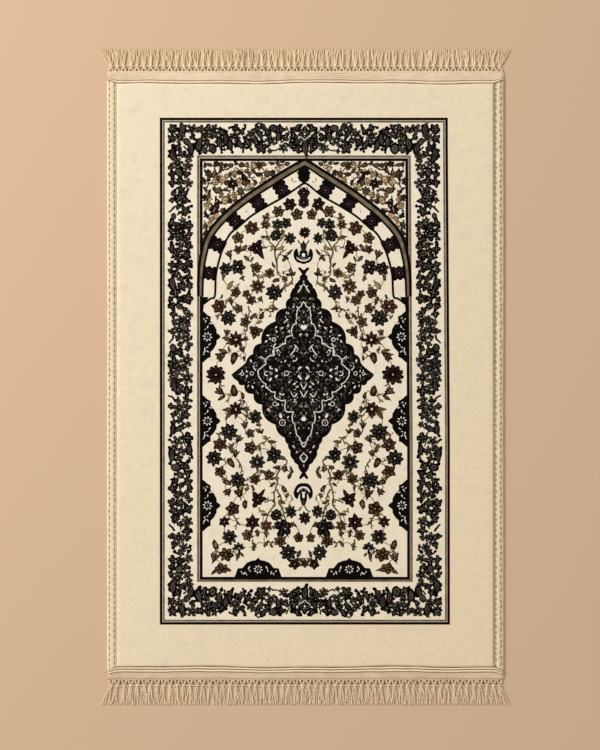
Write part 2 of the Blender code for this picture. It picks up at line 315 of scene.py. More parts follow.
def spun(shape, turns):
    # one copy of a shape for each turn, in degrees, about its origin
    turns = np.asarray(turns, float)
    return put(shape, np.stack([0 * turns, 0 * turns, turns, 0 * turns + 1], -1))


def evenTurns(count, first=90.0):
    # first + 360 k / count, in degrees
    return first + np.arange(count) * 360.0 / count


def flowerOutline(count, notch=0.55, point=0.10):
    # full petals, a little pointed: r(angle) = notch + (1 - notch - point) w^0.6 + point w^9, where w is
    # |cos(count x angle / 2)|
    angle = np.arange(count * 8) / (count * 8) * 2 * np.pi
    wave = np.abs(np.cos(count * angle / 2))
    r = notch + (1 - notch - point) * wave ** 0.6 + point * wave ** 9
    return np.stack([-r * np.sin(angle), r * np.cos(angle)], -1)


# Motifs, each about 1 in radius and pointing along +x: lists of (tone, layer, kind of shape, shapes).
# Tone 0 is the dark outline, 1 the fill, 2 the heart
def rosette(count, notch=0.61, heart=0.09, point=0.10):
    wide = 0.44 * math.pi / count
    return [
        (0, 1, [flowerOutline(count, notch, point)]),
        (1, 2, spun(petal(0.30, 0.88, wide, 1.35, 0.7, 9), evenTurns(count))),
        (0, 3, spun(petal(0.36, 0.74, 0.035, 1.0, 1.0, 5), evenTurns(count))),
        (2, 2, [disc(heart, 7)]),
    ]


def pointed(count, wide=0.36, horn=0.0, heart=0.10):
    # a star flower whose petals come to points, every other one longer by horn
    even = evenTurns(count)[::2]
    odd = evenTurns(count)[1::2]
    return [
        (0, 1, spun(petal(0.0, 1.0 + horn, wide, 0.95, 0.8), even)),
        (0, 1, spun(petal(0.0, 1.0 - horn, wide, 0.95, 0.8), odd)),
        (0, 1, [disc(0.5, 12)]),
        (1, 2, spun(petal(0.26, 0.80 + horn, wide * 0.50, 1.0, 0.9, 8), even)),
        (1, 2, spun(petal(0.26, 0.80 - horn, wide * 0.50, 1.0, 0.9, 8), odd)),
        (2, 2, [disc(heart, 7)]),
    ]


leafShape = [
    (0, 1, [petal(-1.0, 1.0, 0.42, 0.8, 0.85)]),
    (1, 2, [petal(-0.68, 0.62, 0.23, 0.8, 0.85, 10)]),
    (0, 3, [petal(-0.55, 0.45, 0.05, 1.0, 1.0, 8)]),
]
budShape = [
    (0, 1, [petal(-0.9, 1.0, 0.55, 0.7, 0.6)]),
    (1, 2, [petal(-0.45, 0.55, 0.28, 0.8, 0.7, 8)]),
]
sprigShape = [
    (0, 1, [petal(-0.2, 1.0, 0.34, 0.8, 0.8)]),
    (0, 1, put(petal(0.0, 0.75, 0.24, 0.9, 0.8), [(-0.25, 0.05, 62, 1), (-0.25, -0.05, -62, 1)])),
    (0, 1, [petal(-1.0, 0.1, 0.15, 1.2, 0.8)]),
    (1, 2, [petal(0.1, 0.72, 0.17, 0.8, 0.8, 8)]),
    (1, 2, put(petal(0.2, 0.55, 0.1, 0.9, 0.8, 8), [(-0.25, 0.05, 62, 1), (-0.25, -0.05, -62, 1)])),
]
tulipShape = [
    (0, 1, spun(petal(-0.1, 1.15, 0.33, 0.75, 0.8), [-38, 0, 38])),
    (0, 1, [disc(0.42, 12)]),
    (0, 1, [petal(-1.0, 0.2, 0.18, 1.4, 0.8)]),
    (1, 2, spun(petal(0.30, 0.86, 0.15, 0.8, 0.8, 8), [-38, 0, 38])),
    (2, 2, [disc(0.13, 8, 0.05)]),
]
fanShape = [
    (0, 1, spun(petal(0.0, 1.05, 0.27, 1.1, 0.7), [-80, -40, 0, 40, 80])),
    (0, 1, [petal(-1.2, 0.3, 0.2, 1.3, 0.7)]),
    (1, 2, spun(petal(0.40, 0.86, 0.13, 1.1, 0.7, 8), [-80, -40, 0, 40, 80])),
    (2, 2, [disc(0.18, 8, 0.08)]),
]
oakShape = [
    (0, 1, [lobes(7, 0.34, 1.0) * [1.05, 0.85]]),
    (0, 1, [petal(0.5, 1.35, 0.16, 1.0, 0.7)]),
    (1, 2, spun(petal(0.15, 0.72, 0.12, 1.1, 0.8, 8) * [1.0, 0.9], [0, 51, 103, 154, 206, 257, 309])),
    (2, 3, [petal(-0.5, 0.6, 0.06, 1.0, 1.0, 8)]),
]
ballShape = [
    (0, 1, [lobes(8, 0.14, 1.0)]),
    (1, 2, spun(petal(0.38, 0.80, 0.17, 1.0, 0.6, 8), evenTurns(8, 112.5))),
    (2, 2, [disc(0.15, 8)]),
]


def bent(shape, amount):
    # y + amount x^2: a straight leaf curls to one side
    return np.stack([shape[..., 0], shape[..., 1] + amount * shape[..., 0] ** 2], -1)


def curledLeaf(side):
    # a thick leaf bent to one side, with a knob on its tip, a hook at its root and two lumps on its back
    body = bent(petal(-1.0, 0.95, 0.50, 0.8, 0.6, 14), 0.22) * [1, side]
    lumps = np.array([
        (0.98, 0.24, 0, 0.27), (-0.98, 0.36, 0, 0.25), (-0.15, -0.44, 0, 0.25), (0.42, -0.30, 0, 0.23),
    ])
    lumps = lumps * [1, side, 1, 1]
    return [
        (0, 1, [body]),
        (0, 1, put(disc(1.0, 9), lumps)),
        (1, 2, [bent(petal(-0.66, 0.70, 0.25, 0.9, 0.7, 9), 0.22) * [1, side]]),
        (0, 3, [bent(petal(-0.56, 0.60, 0.07, 1.0, 1.0, 8), 0.22) * [1, side]]),
    ]


def ivy(count, notch=0.40):
    # a small lobed leaf, r(angle) = 1 - notch + notch |cos(count x angle / 2)|^1.15, with a fill in each
    # lobe and a stalk
    return [
        (0, 1, [lobes(count, notch, 1.15) * [1.06, 0.98]]),
        (0, 1, [petal(-1.30, -0.3, 0.16, 1.2, 0.7, 8)]),
        (1, 2, spun(petal(0.14, 0.72, 0.145, 1.1, 0.8, 8) * [1.0, 0.95], evenTurns(count, 0))),
        (2, 3, [petal(-0.30, 0.34, 0.05, 1.0, 1.0, 7)]),
    ]


berryShape = [
    (0, 1, [disc(1.0, 12) * [1.0, 0.78]]),
    (1, 2, [disc(0.64, 9, 0.04) * [1.0, 0.78]]),
    (0, 3, [petal(-0.3, 0.36, 0.10, 1.0, 0.8, 7)]),
]
knobShape = [(0, 1, [disc(1.0, 10)])]
dropShape = [(0, 1, [petal(-1.0, 1.0, 0.5, 0.75, 0.7)]), (1, 2, [petal(-0.45, 0.5, 0.2, 0.8, 0.7, 8)])]
clusterShape = [
    (0, 1, put(disc(0.5, 12), [(0, 0, 0, 1.1), (0.55, 0.25, 0, 0.9), (-0.5, 0.3, 0, 1), (0.1, 0.62, 0, 0.8),
                               (-0.25, -0.6, 0, 0.9), (0.5, -0.45, 0, 0.85)])),
    (0, 1, spun(petal(0.3, 1.15, 0.2, 0.9, 0.8), [25, 95, 160, 235, 300])),
    (1, 2, put(petal(-0.28, 0.28, 0.12, 1, 0.8, 8), [
        (0, 0.05, 40, 1), (0.52, 0.28, 100, 0.9), (-0.48, 0.3, 20, 1), (0.1, 0.6, 0, 0.8),
        (-0.22, -0.55, 70, 0.9), (0.5, -0.42, 120, 0.9),
    ])),
    (2, 2, [disc(0.1, 8, 0.25, -0.1)]),
]
motifs = {
    "rosette5": rosette(5), "rosette6": rosette(6), "rosette7": rosette(7), "rosette8": rosette(8),
    "round5": rosette(5, 0.42, 0.12, 0.0), "round6": rosette(6, 0.46, 0.12, 0.0),
    "daisy": rosette(10, 0.72, 0.1, 0.04),
    "eyed": rosette(8, 0.58, 0.17), "eyed6": rosette(6, 0.54, 0.17), "star4": pointed(4, 0.50),
    "star5": pointed(5, 0.42), "star6": pointed(6, 0.36), "star8": pointed(8, 0.30),
    "horned": pointed(6, 0.36, 0.18), "leaf": leafShape, "bud": budShape, "sprig": sprigShape,
    "tulip": tulipShape, "fan": fanShape, "oak": oakShape, "ball": ballShape, "knob": knobShape,
    "drop": dropShape, "cluster": clusterShape, "ivy3": ivy(3, 0.46), "ivy4": ivy(4), "ivy5": ivy(5, 0.38),
    "curl": curledLeaf(1), "hook": curledLeaf(-1), "berry": berryShape,
}
schemes = {
    "black": ("black", "charcoal", "grey"), "white": ("black", "charcoal", "ivory"),
    "burgundy": ("black", "burgundy", "peach"), "red": ("burgundy", "russet", "peach"),
    "brown": ("darkBrown", "brown", "tan"), "olive": ("darkOlive", "olive", "taupe"),
    "peach": ("vine", "peach", "brown"), "pale": ("vine", "tan", "peach"),
    "straw": ("vine", "straw", "brown"), "leafy": ("black", "smoke", "grey"),
}


def unsettle(flat, size=0.34):
    # tufts never sit quite on the chart: two crossing waves 5 and 3 steps long push every outline about
    x, y = flat[..., 0], flat[..., 1]
    across = np.sin(1.25 * x + 0.85 * y + 0.5) + 0.6 * np.sin(2.3 * y - 1.2 * x + 2)
    up = np.sin(1.05 * y - 0.9 * x + 1.3) + 0.6 * np.sin(2.1 * x + 1.4 * y + 0.2)
    return flat + size * np.stack([across, up], -1)


def heldWithin(flat, low, high):
    # shapes flatten near the plain bands beside their own: of what passes low or high, in |across| or
    # |up - borderMiddle|, a quarter is left
    middle = np.array([0, borderMiddle])
    away = flat - middle
    held = np.clip(np.abs(away), low, high)
    return middle + np.sign(away) * (held + 0.25 * (np.abs(away) - held))


def placeMotifs(rows, copies, scale=1.0, within=None, depth=1.0, rough=0.34):
    # rows are (motif, scheme, out, up, turn, size) for the left half. copies makes the mirrored places, and
    # each copy is turned and sized a little differently, as hand-set tufts are. within holds the band's low
    # and high, a depth under 1 keeps small fillers below the rest, and rough pushes the outlines about
    groups = {}
    for motif, scheme, out, up, turn, size in rows:
        groups.setdefault((motif, scheme), []).append((out, up, turn, size))
    for (motif, scheme), places in groups.items():
        left = np.array(places) * [-1, 1, 1, 1]
        for flipAcross, flipUp, rise in copies:
            uneven = dice.normal(size=(len(left), 2)) * [4.0, 0.035]
            shift = left.copy()
            shift[:, 2] += uneven[:, 0]
            shift[:, 3] *= scale * (1 + uneven[:, 1])
            for tone, layer, shapes in motifs[motif]:
                flat = unsettle(put(shapes, shift) * [flipAcross, flipUp] + [0, rise], rough)
                if within:
                    flat = heldWithin(flat, *within)
                layDiscs(schemes[scheme][tone], depth * layer, flat)


def placeStems(rows, copies, dye, thick=1.0):
    # rows are (half width, points), drawn thick times as wide and thinning to 0.7 of it at the far end
    for width, points in rows:
        line = curve(points, 4 + 3 * len(points)) * [-1.0, 1.0]
        taper = thick * width * np.linspace(1.0, 0.7, len(line))
        for flipAcross, flipUp, rise in copies:
            layRibbons(dye, 1, unsettle(line * [flipAcross, flipUp] + [0, rise]), taper)


# (across, up, rise): 1 keeps the side, -1 mirrors it, and rise moves the mirrored half to its own level
lowerRise = 2 * borderMiddle
once = ((1, 1, 0),)
leftRight = ((1, 1, 0), (-1, 1, 0))
topBottom = ((1, 1, 0), (1, -1, lowerRise))
lowerBoth = ((1, -1, lowerRise), (-1, -1, lowerRise))
fourWays = leftRight + lowerBoth

# Field flowers: motif, scheme, out (steps left of the middle line), up (steps above the middle), turn, size.
# The right half is the same, mirrored
upperField = [
    ("star6", "burgundy", 15, 168, 20, 6.6), ("star6", "olive", 26.5, 161, 35, 6.2),
    ("star5", "olive", 7.5, 158, 80, 5.8), ("sprig", "olive", 38.5, 155, 70, 5.2),
    ("eyed6", "brown", 39.5, 148, 20, 4.6), ("star6", "red", 53, 144.5, 15, 7.0),
    ("rosette6", "black", 27, 148, 0, 5.6), ("rosette5", "black", 18.5, 149.5, 30, 5.2),
    ("ball", "black", 28.9, 137, 10, 5.5), ("rosette8", "black", 14.8, 134, 5, 6.0),
    ("star5", "olive", 66.5, 134.5, 80, 5.6), ("rosette5", "brown", 66.5, 123, 30, 4.6),
    ("bud", "olive", 60, 124.5, 60, 3.8), ("horned", "burgundy", 48, 124.4, 95, 7.0),
    ("leaf", "burgundy", 43.4, 118, -58, 5.0), ("leaf", "olive", 39, 124.8, -10, 2.2),
    ("leaf", "olive", 55, 123.4, 185, 2.4), ("leaf", "olive", 40.5, 135.5, 175, 3.8),
    ("bud", "olive", 36.5, 134.5, -40, 2.4), ("bud", "brown", 22.5, 140.5, 70, 2.6),
    ("bud", "pale", 24, 124.4, 200, 3.4), ("bud", "pale", 33, 123, 240, 2.4),
    ("tulip", "olive", 75, 117, 110, 5.0), ("leaf", "olive", 57.8, 113.8, -42, 3.8),
    ("sprig", "olive", 19.2, 115, 232, 4.8), ("leaf", "olive", 14.6, 120.6, 50, 3.6),
    ("leaf", "olive", 52.5, 113.5, 65, 2.8), ("star6", "black", 79.2, 103.8, 20, 6.2),
    ("star6", "white", 67.0, 105.4, 40, 7.6), ("leaf", "olive", 81.6, 95.6, -95, 3.8),
    ("star5", "olive", 48.6, 105, 60, 5.4), ("tulip", "olive", 51, 99.2, -60, 2.6),
    ("rosette6", "olive", 35.0, 99.5, 0, 4.8), ("leaf", "pale", 41.8, 96.8, 35, 4.4),
    ("leaf", "olive", 31.4, 107.8, 128, 3.4), ("sprig", "olive", 13.4, 98.2, 98, 6.0),
    ("drop", "olive", 21.7, 100, 90, 1.6), ("star5", "olive", 19.9, 93, 20, 3.0),
    ("bud", "olive", 28.6, 91.8, 190, 3.6), ("eyed", "brown", 47.1, 86.1, 0, 7.2),
    ("star8", "black", 30.4, 79.8, 10, 7.8), ("leaf", "olive", 21.4, 84, 42, 3.0),
    ("star5", "brown", 69.3, 79.8, 60, 5.2), ("sprig", "olive", 62.4, 94.6, -60, 3.8),
    ("leaf", "pale", 74.4, 87.6, 57, 5.2), ("leaf", "brown", 73.8, 71.4, -78, 4.2),
    ("star6", "red", 85.8, 66, 25, 7.2), ("leaf", "red", 83, 75.6, 78, 2.6),
    ("rosette6", "brown", 53.6, 72.4, 10, 5.2), ("rosette5", "brown", 58.4, 78.4, 40, 4.4),
    ("tulip", "olive", 43.6, 72.2, 120, 3.6), ("star5", "olive", 66.6, 63.8, 85, 4.8),
    ("star8", "black", 76.5, 54.6, 15, 7.8), ("star5", "olive", 59.6, 50.2, 50, 5.2),
    ("leaf", "brown", 51.6, 56.2, 48, 4.2), ("leaf", "brown", 58.6, 57.4, 110, 2.8),
    ("bud", "red", 43, 56, 65, 3.8), ("sprig", "olive", 31.2, 63.6, -8, 4.6),
    ("leaf", "pale", 45.6, 50, 25, 3.2), ("bud", "olive", 43.6, 62.4, 150, 2.0),
    ("horned", "brown", 49.4, 40.4, 40, 6.2), ("eyed", "burgundy", 68.8, 32.8, 0, 6.9),
    ("leaf", "brown", 69.2, 37.8, 90, 3.6), ("tulip", "olive", 78.0, 38.6, 82, 4.4),
    ("leaf", "olive", 78.0, 33.8, 165, 4.8), ("leaf", "olive", 75.6, 29.8, 205, 3.8),
    ("tulip", "olive", 60.2, 33.0, 40, 3.6), ("tulip", "olive", 62.1, 21.8, 100, 4.2),
    ("tulip", "brown", 82.2, 17.2, 215, 6.0), ("leaf", "olive", 82.0, 21.6, 165, 4.6),
    ("bud", "brown", 70.8, 14.6, -105, 6.2), ("leaf", "burgundy", 60.6, 13.6, -75, 3.2),
    ("daisy", "burgundy", 89.0, -2.2, 0, 9.2), ("leaf", "brown", 95.4, -8.6, 235, 3.0),
]
lowerField = [
    ("tulip", "olive", 83.8, -19.8, 140, 5.8), ("leaf", "olive", 83.4, -25.6, 205, 4.2),
    ("bud", "brown", 70.6, -18.4, 100, 6.0), ("bud", "brown", 62.1, -23, 100, 3.4),
    ("bud", "brown", 60.8, -29.4, 265, 2.0), ("eyed", "burgundy", 68.8, -36.8, 15, 6.9),
    ("leaf", "brown", 69.0, -43.4, -92, 3.4), ("leaf", "olive", 77.4, -37.2, 182, 5.0),
    ("leaf", "olive", 76.4, -42.4, 238, 5.2), ("tulip", "olive", 60.2, -36.4, -12, 4.2),
    ("rosette7", "black", 49.4, -44.8, 0, 6.4), ("leaf", "olive", 45.8, -53, -15, 3.2),
    ("star8", "black", 75.8, -59.5, 8, 8.2), ("tulip", "olive", 60.0, -54.4, 95, 4.8),
    ("star5", "olive", 54.6, -60.8, 20, 4.8), ("bud", "olive", 47.2, -58.2, 145, 3.2),
    ("bud", "olive", 42.8, -59.4, 60, 2.8), ("star6", "red", 84.9, -72.0, 5, 6.6),
    ("tulip", "olive", 67.0, -67.6, 60, 5.0), ("star5", "brown", 54.1, -75.2, 55, 6.6),
    ("leaf", "olive", 45.2, -76.4, -82, 3.6), ("leaf", "olive", 73.8, -76.5, -82, 4.6),
    ("star8", "white", 90.5, -85.7, 0, 7.8), ("tulip", "olive", 69.2, -82.4, 82, 4.6),
    ("bud", "brown", 73.9, -90.2, -58, 5.4), ("star6", "black", 30.6, -83.2, 5, 7.4),
    ("leaf", "olive", 21.6, -86.2, -28, 4.2), ("eyed", "black", 47.5, -89.7, 0, 7.7),
    ("star5", "brown", 84.7, -99.2, 50, 6.2), ("bud", "olive", 78, -110, -30, 4.4),
    ("star8", "black", 67.1, -108.0, 15, 7.9), ("star6", "brown", 49.6, -106.5, 5, 5.8),
    ("star5", "brown", 35.6, -102.8, 0, 5.4), ("leaf", "olive", 40.8, -99.4, 150, 3.6),
    ("bud", "olive", 58, -116.4, 30, 2.7), ("leaf", "olive", 51.6, -115.2, -82, 3.4),
    ("tulip", "brown", 76, -118, 235, 4.8), ("tulip", "brown", 65.1, -122.2, 105, 5.6),
    ("horned", "burgundy", 46.9, -127.0, 35, 7.0), ("leaf", "burgundy", 42.6, -120.4, 60, 4.6),
    ("bud", "olive", 28, -95.2, 185, 3.6), ("star5", "olive", 19.8, -97.0, 35, 3.2),
    ("leaf", "olive", 13.4, -97.2, 115, 3.6), ("leaf", "brown", 14.6, -102.6, 55, 4.2),
    ("leaf", "olive", 32, -112, 42, 3.4), ("bud", "olive", 20.5, -116.4, 118, 3.9),
    ("bud", "olive", 17.9, -122.8, 50, 2.9), ("drop", "olive", 12.6, -126.4, -50, 1.8),
    ("leaf", "olive", 32.5, -69.8, 0, 4.2), ("leaf", "olive", 23, -129.4, 150, 3.8),
    ("star5", "brown", 71.9, -136.4, 15, 7.0), ("bud", "olive", 59.7, -131.8, -90, 4.6),
    ("rosette6", "burgundy", 80.3, -149, 0, 5.2), ("leaf", "olive", 66.5, -150.5, -52, 3.3),
    ("star6", "burgundy", 52.3, -150.0, 0, 7.2), ("leaf", "burgundy", 52.0, -144.2, 90, 3.6),
    ("rosette6", "red", 38.4, -153.4, 10, 5.5), ("ball", "black", 28.3, -142.6, 0, 5.4),
    ("rosette8", "black", 14.1, -139.2, 8, 5.9), ("cluster", "black", 21.8, -155.4, 0, 7.9),
    ("leaf", "brown", 10.6, -152.2, -36, 3.6), ("leaf", "olive", 40.1, -141.9, 8, 3.7),
    ("rosette8", "black", 75.3, -164.5, 15, 7.5), ("star6", "olive", 57.0, -162.8, 10, 5.4),
    ("leaf", "brown", 47.2, -161.0, 98, 3.6), ("tulip", "olive", 38.4, -162.8, 90, 3.5),
    ("star6", "brown", 24.5, -168.6, 8, 5.9), ("star5", "brown", 6.3, -165.2, 75, 5.2),
    ("leaf", "olive", 38.6, -171.2, 52, 4.2), ("leaf", "olive", 33.2, -173.4, -58, 2.6),
    ("sprig", "olive", 50.9, -174.4, -90, 3.8), ("bud", "olive", 89.4, -172.4, 108, 5.0),
    ("star6", "brown", 78.6, -182.1, 20, 6.9), ("fan", "black", 65.8, -176.4, 95, 5.6),
    ("leaf", "olive", 67.4, -184.4, -98, 4.4), ("leaf", "olive", 62.4, -182.6, -60, 2.6),
    ("tulip", "olive", 90.8, -186.6, 70, 5.4), ("star5", "brown", 83.4, -196.3, 90, 6.0),
    ("leaf", "brown", 76.6, -197.6, -14, 3.8), ("leaf", "brown", 90.2, -199.8, 215, 4.0),
    ("star8", "white", 16.4, -180.1, 0, 7.8), ("leaf", "brown", 5.8, -181.6, 70, 4.0),
    ("leaf", "olive", 4.4, -186.8, 20, 3.2), ("star5", "burgundy", 10.3, -191.6, 40, 5.8),
]
# Stems in the olive-tan yarn: the half width before they are thickened, then a few points each passes through
stems = [
    (0.55, [(27, 110), (30, 120.2), (26, 130.4), (21.7, 135.2), (20.2, 142.4)]),
    (0.5, [(30, 120.2), (30.6, 126.2), (36.6, 132.8), (39, 142.4)]),
    (0.45, [(27.7, 112.5), (25.3, 119), (18.1, 122.6)]),
    (0.55, [(28.3, 114), (27.7, 105), (27.1, 98.4), (21.1, 94.2), (19.9, 90), (20.4, 85)]),
    (0.45, [(14.5, 87.6), (18, 85.4), (21.7, 82.2)]), (0.5, [(12.1, 91.8), (14.5, 87.6)]),
    (0.45, [(30.4, 72.5), (32.4, 66)]), (0.4, [(37.2, 63), (34.6, 59), (33.6, 54.6)]),
    (0.45, [(41, 61.5), (37.2, 63), (33, 64)]), (0.5, [(55.8, 66), (55.6, 60), (56, 54)]),
    (0.45, [(65.4, 89), (67.8, 84)]), (0.45, [(79.2, 67.8), (75, 75.6)]),
    (0.45, [(72.6, 67.8), (69.6, 64.2)]), (0.4, [(87.4, 52.8), (86, 58.8)]),
    (0.45, [(46.2, 93.6), (48.6, 98.6)]), (0.45, [(46.8, 58.2), (51, 54.6)]),
    (0.45, [(56.8, 45.7), (58.6, 41.3), (61.7, 37.3)]), (0.5, [(76.4, 26.6), (76.4, 23), (73.7, 19.9)]),
    (0.5, [(65.3, 27), (62.6, 24.3)]), (0.4, [(67, 16.7), (63.5, 15.8)]),
    (0.45, [(84.9, -9.6), (83, -14)]), (0.5, [(78.2, -22), (74.6, -22.5), (76.4, -26.5), (76.4, -30.5)]),
    (0.45, [(62.1, -26.1), (64.8, -30.5)]), (0.5, [(62.1, -40.8), (59, -45.3), (58.1, -49.3)]),
    (0.4, [(59.5, -42.6), (55, -42.6)]), (0.6, [(85.8, -64.9), (85.8, -61.3), (81.8, -60.4)]),
    (0.45, [(80, -71.6), (76, -74.7)]), (0.45, [(70.6, -69.4), (74.2, -72.9)]),
    (0.5, [(49.2, -74.3), (43.4, -71.1), (39.4, -70.3), (38.7, -66.8), (42.8, -63.4)]),
    (0.5, [(40, -64), (37.4, -66.1), (33.3, -72.2), (30.6, -75.5)]),
    (0.5, [(67.8, -86.4), (63.1, -94.5), (64.4, -101.2)]), (0.4, [(84, -87), (78, -89.1)]),
    (0.5, [(82, -103.3), (80, -106.7)]), (0.5, [(47.5, -96.5), (48.2, -101.9)]),
    (0.5, [(45.5, -97.9), (40.8, -101.2)]), (0.4, [(59.7, -108.3), (55, -107.3)]),
    (0.45, [(18, -88), (18.4, -92), (19.5, -95.2), (24.5, -96.5)]),
    (0.6, [(24.5, -96.5), (27.9, -103.3), (27.2, -110), (30.6, -120.9), (30, -129.6)]),
    (0.55, [(27.9, -116.1), (23.9, -125.6), (26.6, -130)]),
    (0.4, [(34, -104), (30, -106.6), (27.6, -107)]),
    (0.55, [(31.3, -126), (30, -132.8), (36, -140.2), (38.7, -149)]),
    (0.6, [(26.6, -130), (21.8, -138.2), (19.1, -148.3)]), (0.45, [(46.2, -135.5), (42.1, -140.2)]),
    (0.45, [(40.8, -130.7), (35, -127.6), (32, -127.4)]), (0.5, [(73.9, -140.2), (76.6, -144.9)]),
    (0.5, [(72.5, -140.9), (68.1, -149), (69.2, -157.1)]), (0.5, [(62.5, -117.2), (64, -113.8)]),
    (0.45, [(53.6, -155.8), (54.3, -158)]), (0.45, [(48.2, -156.4), (47.4, -159)]),
    (0.5, [(52.3, -166.6), (51.6, -172.7), (50.2, -178.4)]), (0.45, [(38.1, -157.8), (38.4, -161)]),
    (0.45, [(36.4, -169.3), (32, -170.6), (28.4, -169.8)]), (0.45, [(33.3, -154.1), (29, -153.8)]),
    (0.45, [(17.1, -160.5), (19.1, -165.2)]), (0.45, [(14.4, -151.7), (12.6, -151.8)]),
    (0.45, [(89.4, -176.7), (89.4, -180.1)]), (0.45, [(73.2, -179.4), (70, -178.6)]),
    (0.45, [(79, -192), (80, -194)]), (0.5, [(57, -110.5), (58, -114)]),
]
centreFlowers = [
    ("daisy", "burgundy", 0, 140, 0, 5.6), ("star8", "burgundy", 0, -145.6, 10, 5.9),
    ("rosette6", "brown", 0, -191, 0, 5.0),
]
# Small flowers packed in the corners above the arch
spandrel = [
    ("leaf", "brown", 99.6, 207.6, 95, 3.4), ("rosette5", "brown", 95, 207.2, 0, 2.8),
    ("rosette6", "brown", 88.3, 208, 0, 3.4), ("bud", "brown", 83.4, 207.2, 80, 2.6),
    ("rosette5", "olive", 79.6, 206.6, 0, 2.9), ("rosette6", "brown", 74.2, 206.8, 0, 3.6),
    ("leaf", "black", 68.6, 208.6, -35, 3.6), ("rosette6", "brown", 62.6, 206.8, 0, 3.6),
    ("bud", "olive", 57, 206, 100, 2.4), ("bud", "pale", 52.2, 207.8, 70, 3.0),
    ("rosette8", "brown", 46.2, 206.6, 0, 4.5), ("rosette5", "brown", 41, 207.6, 0, 3.4),
    ("leaf", "black", 33.4, 208.8, 10, 3.0), ("bud", "brown", 27.4, 208.8, 0, 2.2),
    ("leaf", "black", 21.6, 210, 10, 2.6), ("star5", "brown", 17.6, 208, 30, 3.0),
    ("bud", "peach", 26.4, 203.4, 160, 2.6), ("bud", "peach", 22.8, 205.2, 20, 2.4),
    ("tulip", "black", 98.2, 200, -60, 3.6), ("leaf", "black", 94.6, 197.4, -92, 5.0),
    ("rosette6", "olive", 101.6, 191, 0, 3.8), ("leaf", "black", 84, 201.8, -110, 4.2),
    ("bud", "olive", 91, 197, 80, 2.8), ("rosette6", "peach", 89.6, 190.2, 0, 4.2),
    ("bud", "brown", 86.2, 194, 60, 2.4), ("rosette6", "peach", 82.8, 192, 0, 4.0),
    ("bud", "pale", 78.6, 196, 90, 2.6), ("leaf", "black", 74.6, 198, 85, 3.2),
    ("bud", "pale", 70.6, 198, 80, 3.2), ("rosette5", "burgundy", 65.2, 199.4, 0, 3.4),
    ("leaf", "burgundy", 60, 194, -50, 5.0), ("bud", "olive", 58.4, 201, 40, 2.6),
    ("bud", "brown", 51, 201, -60, 2.6), ("bud", "olive", 55.2, 198.6, 60, 2.4),
    ("leaf", "black", 45.2, 197.6, 10, 4.6), ("bud", "olive", 37.4, 198, 80, 3.4),
    ("rosette5", "brown", 32.4, 199.2, 0, 3.2), ("bud", "pale", 41.4, 192.6, 30, 3.0),
    ("bud", "peach", 37.4, 192.8, 60, 2.8), ("leaf", "black", 49.2, 189.8, -70, 3.0),
    ("tulip", "olive", 52.8, 185.6, -90, 3.9), ("star6", "burgundy", 72.4, 188.6, 10, 5.2),
    ("bud", "brown", 77.6, 189.6, 20, 3.0), ("bud", "pale", 66.4, 191.4, 60, 3.0),
    ("bud", "olive", 60.4, 189.8, -60, 3.4), ("leaf", "brown", 99, 183, -60, 3.2),
    ("leaf", "brown", 95.4, 179, -80, 3.0), ("star5", "olive", 86.8, 182.2, 30, 4.2),
    ("leaf", "olive", 79, 183, 175, 3.4), ("leaf", "olive", 89.6, 184, 120, 3.0),
    ("rosette5", "pale", 83.6, 178, 0, 3.0), ("bud", "olive", 76, 176.4, 90, 2.6),
    ("oak", "olive", 64, 181, -80, 4.6), ("bud", "pale", 70.4, 177, 110, 3.4),
    ("rosette6", "brown", 100, 174.6, 0, 3.6), ("bud", "pale", 95.6, 172.6, 60, 2.4),
    ("tulip", "burgundy", 87.8, 171.6, -68, 5.4), ("bud", "peach", 79.6, 172.4, 250, 4.2),
    ("rosette5", "brown", 74.6, 171.6, 0, 3.0), ("bud", "black", 69.4, 172, 20, 2.4),
    ("bud", "pale", 98, 167, -60, 3.4), ("oak", "burgundy", 90.4, 162.8, 70, 5.4),
    ("tulip", "burgundy", 83.0, 161.4, 0, 4.2), ("leaf", "burgundy", 99, 157.6, 118, 4.2),
    ("bud", "pale", 92.8, 153.6, 45, 3.0), ("bud", "peach", 89, 156.6, 48, 3.2),
    ("leaf", "olive", 99.6, 147.6, 80, 4.0), ("bud", "peach", 94.8, 148, 50, 2.8),
    ("leaf", "brown", 98.8, 140.4, 60, 3.6), ("knob", "black", 94.6, 143.8, 0, 1.6),
    ("leaf", "brown", 100.6, 134.4, 50, 3.2), ("knob", "black", 99.9, 129.4, 0, 1.3),
]

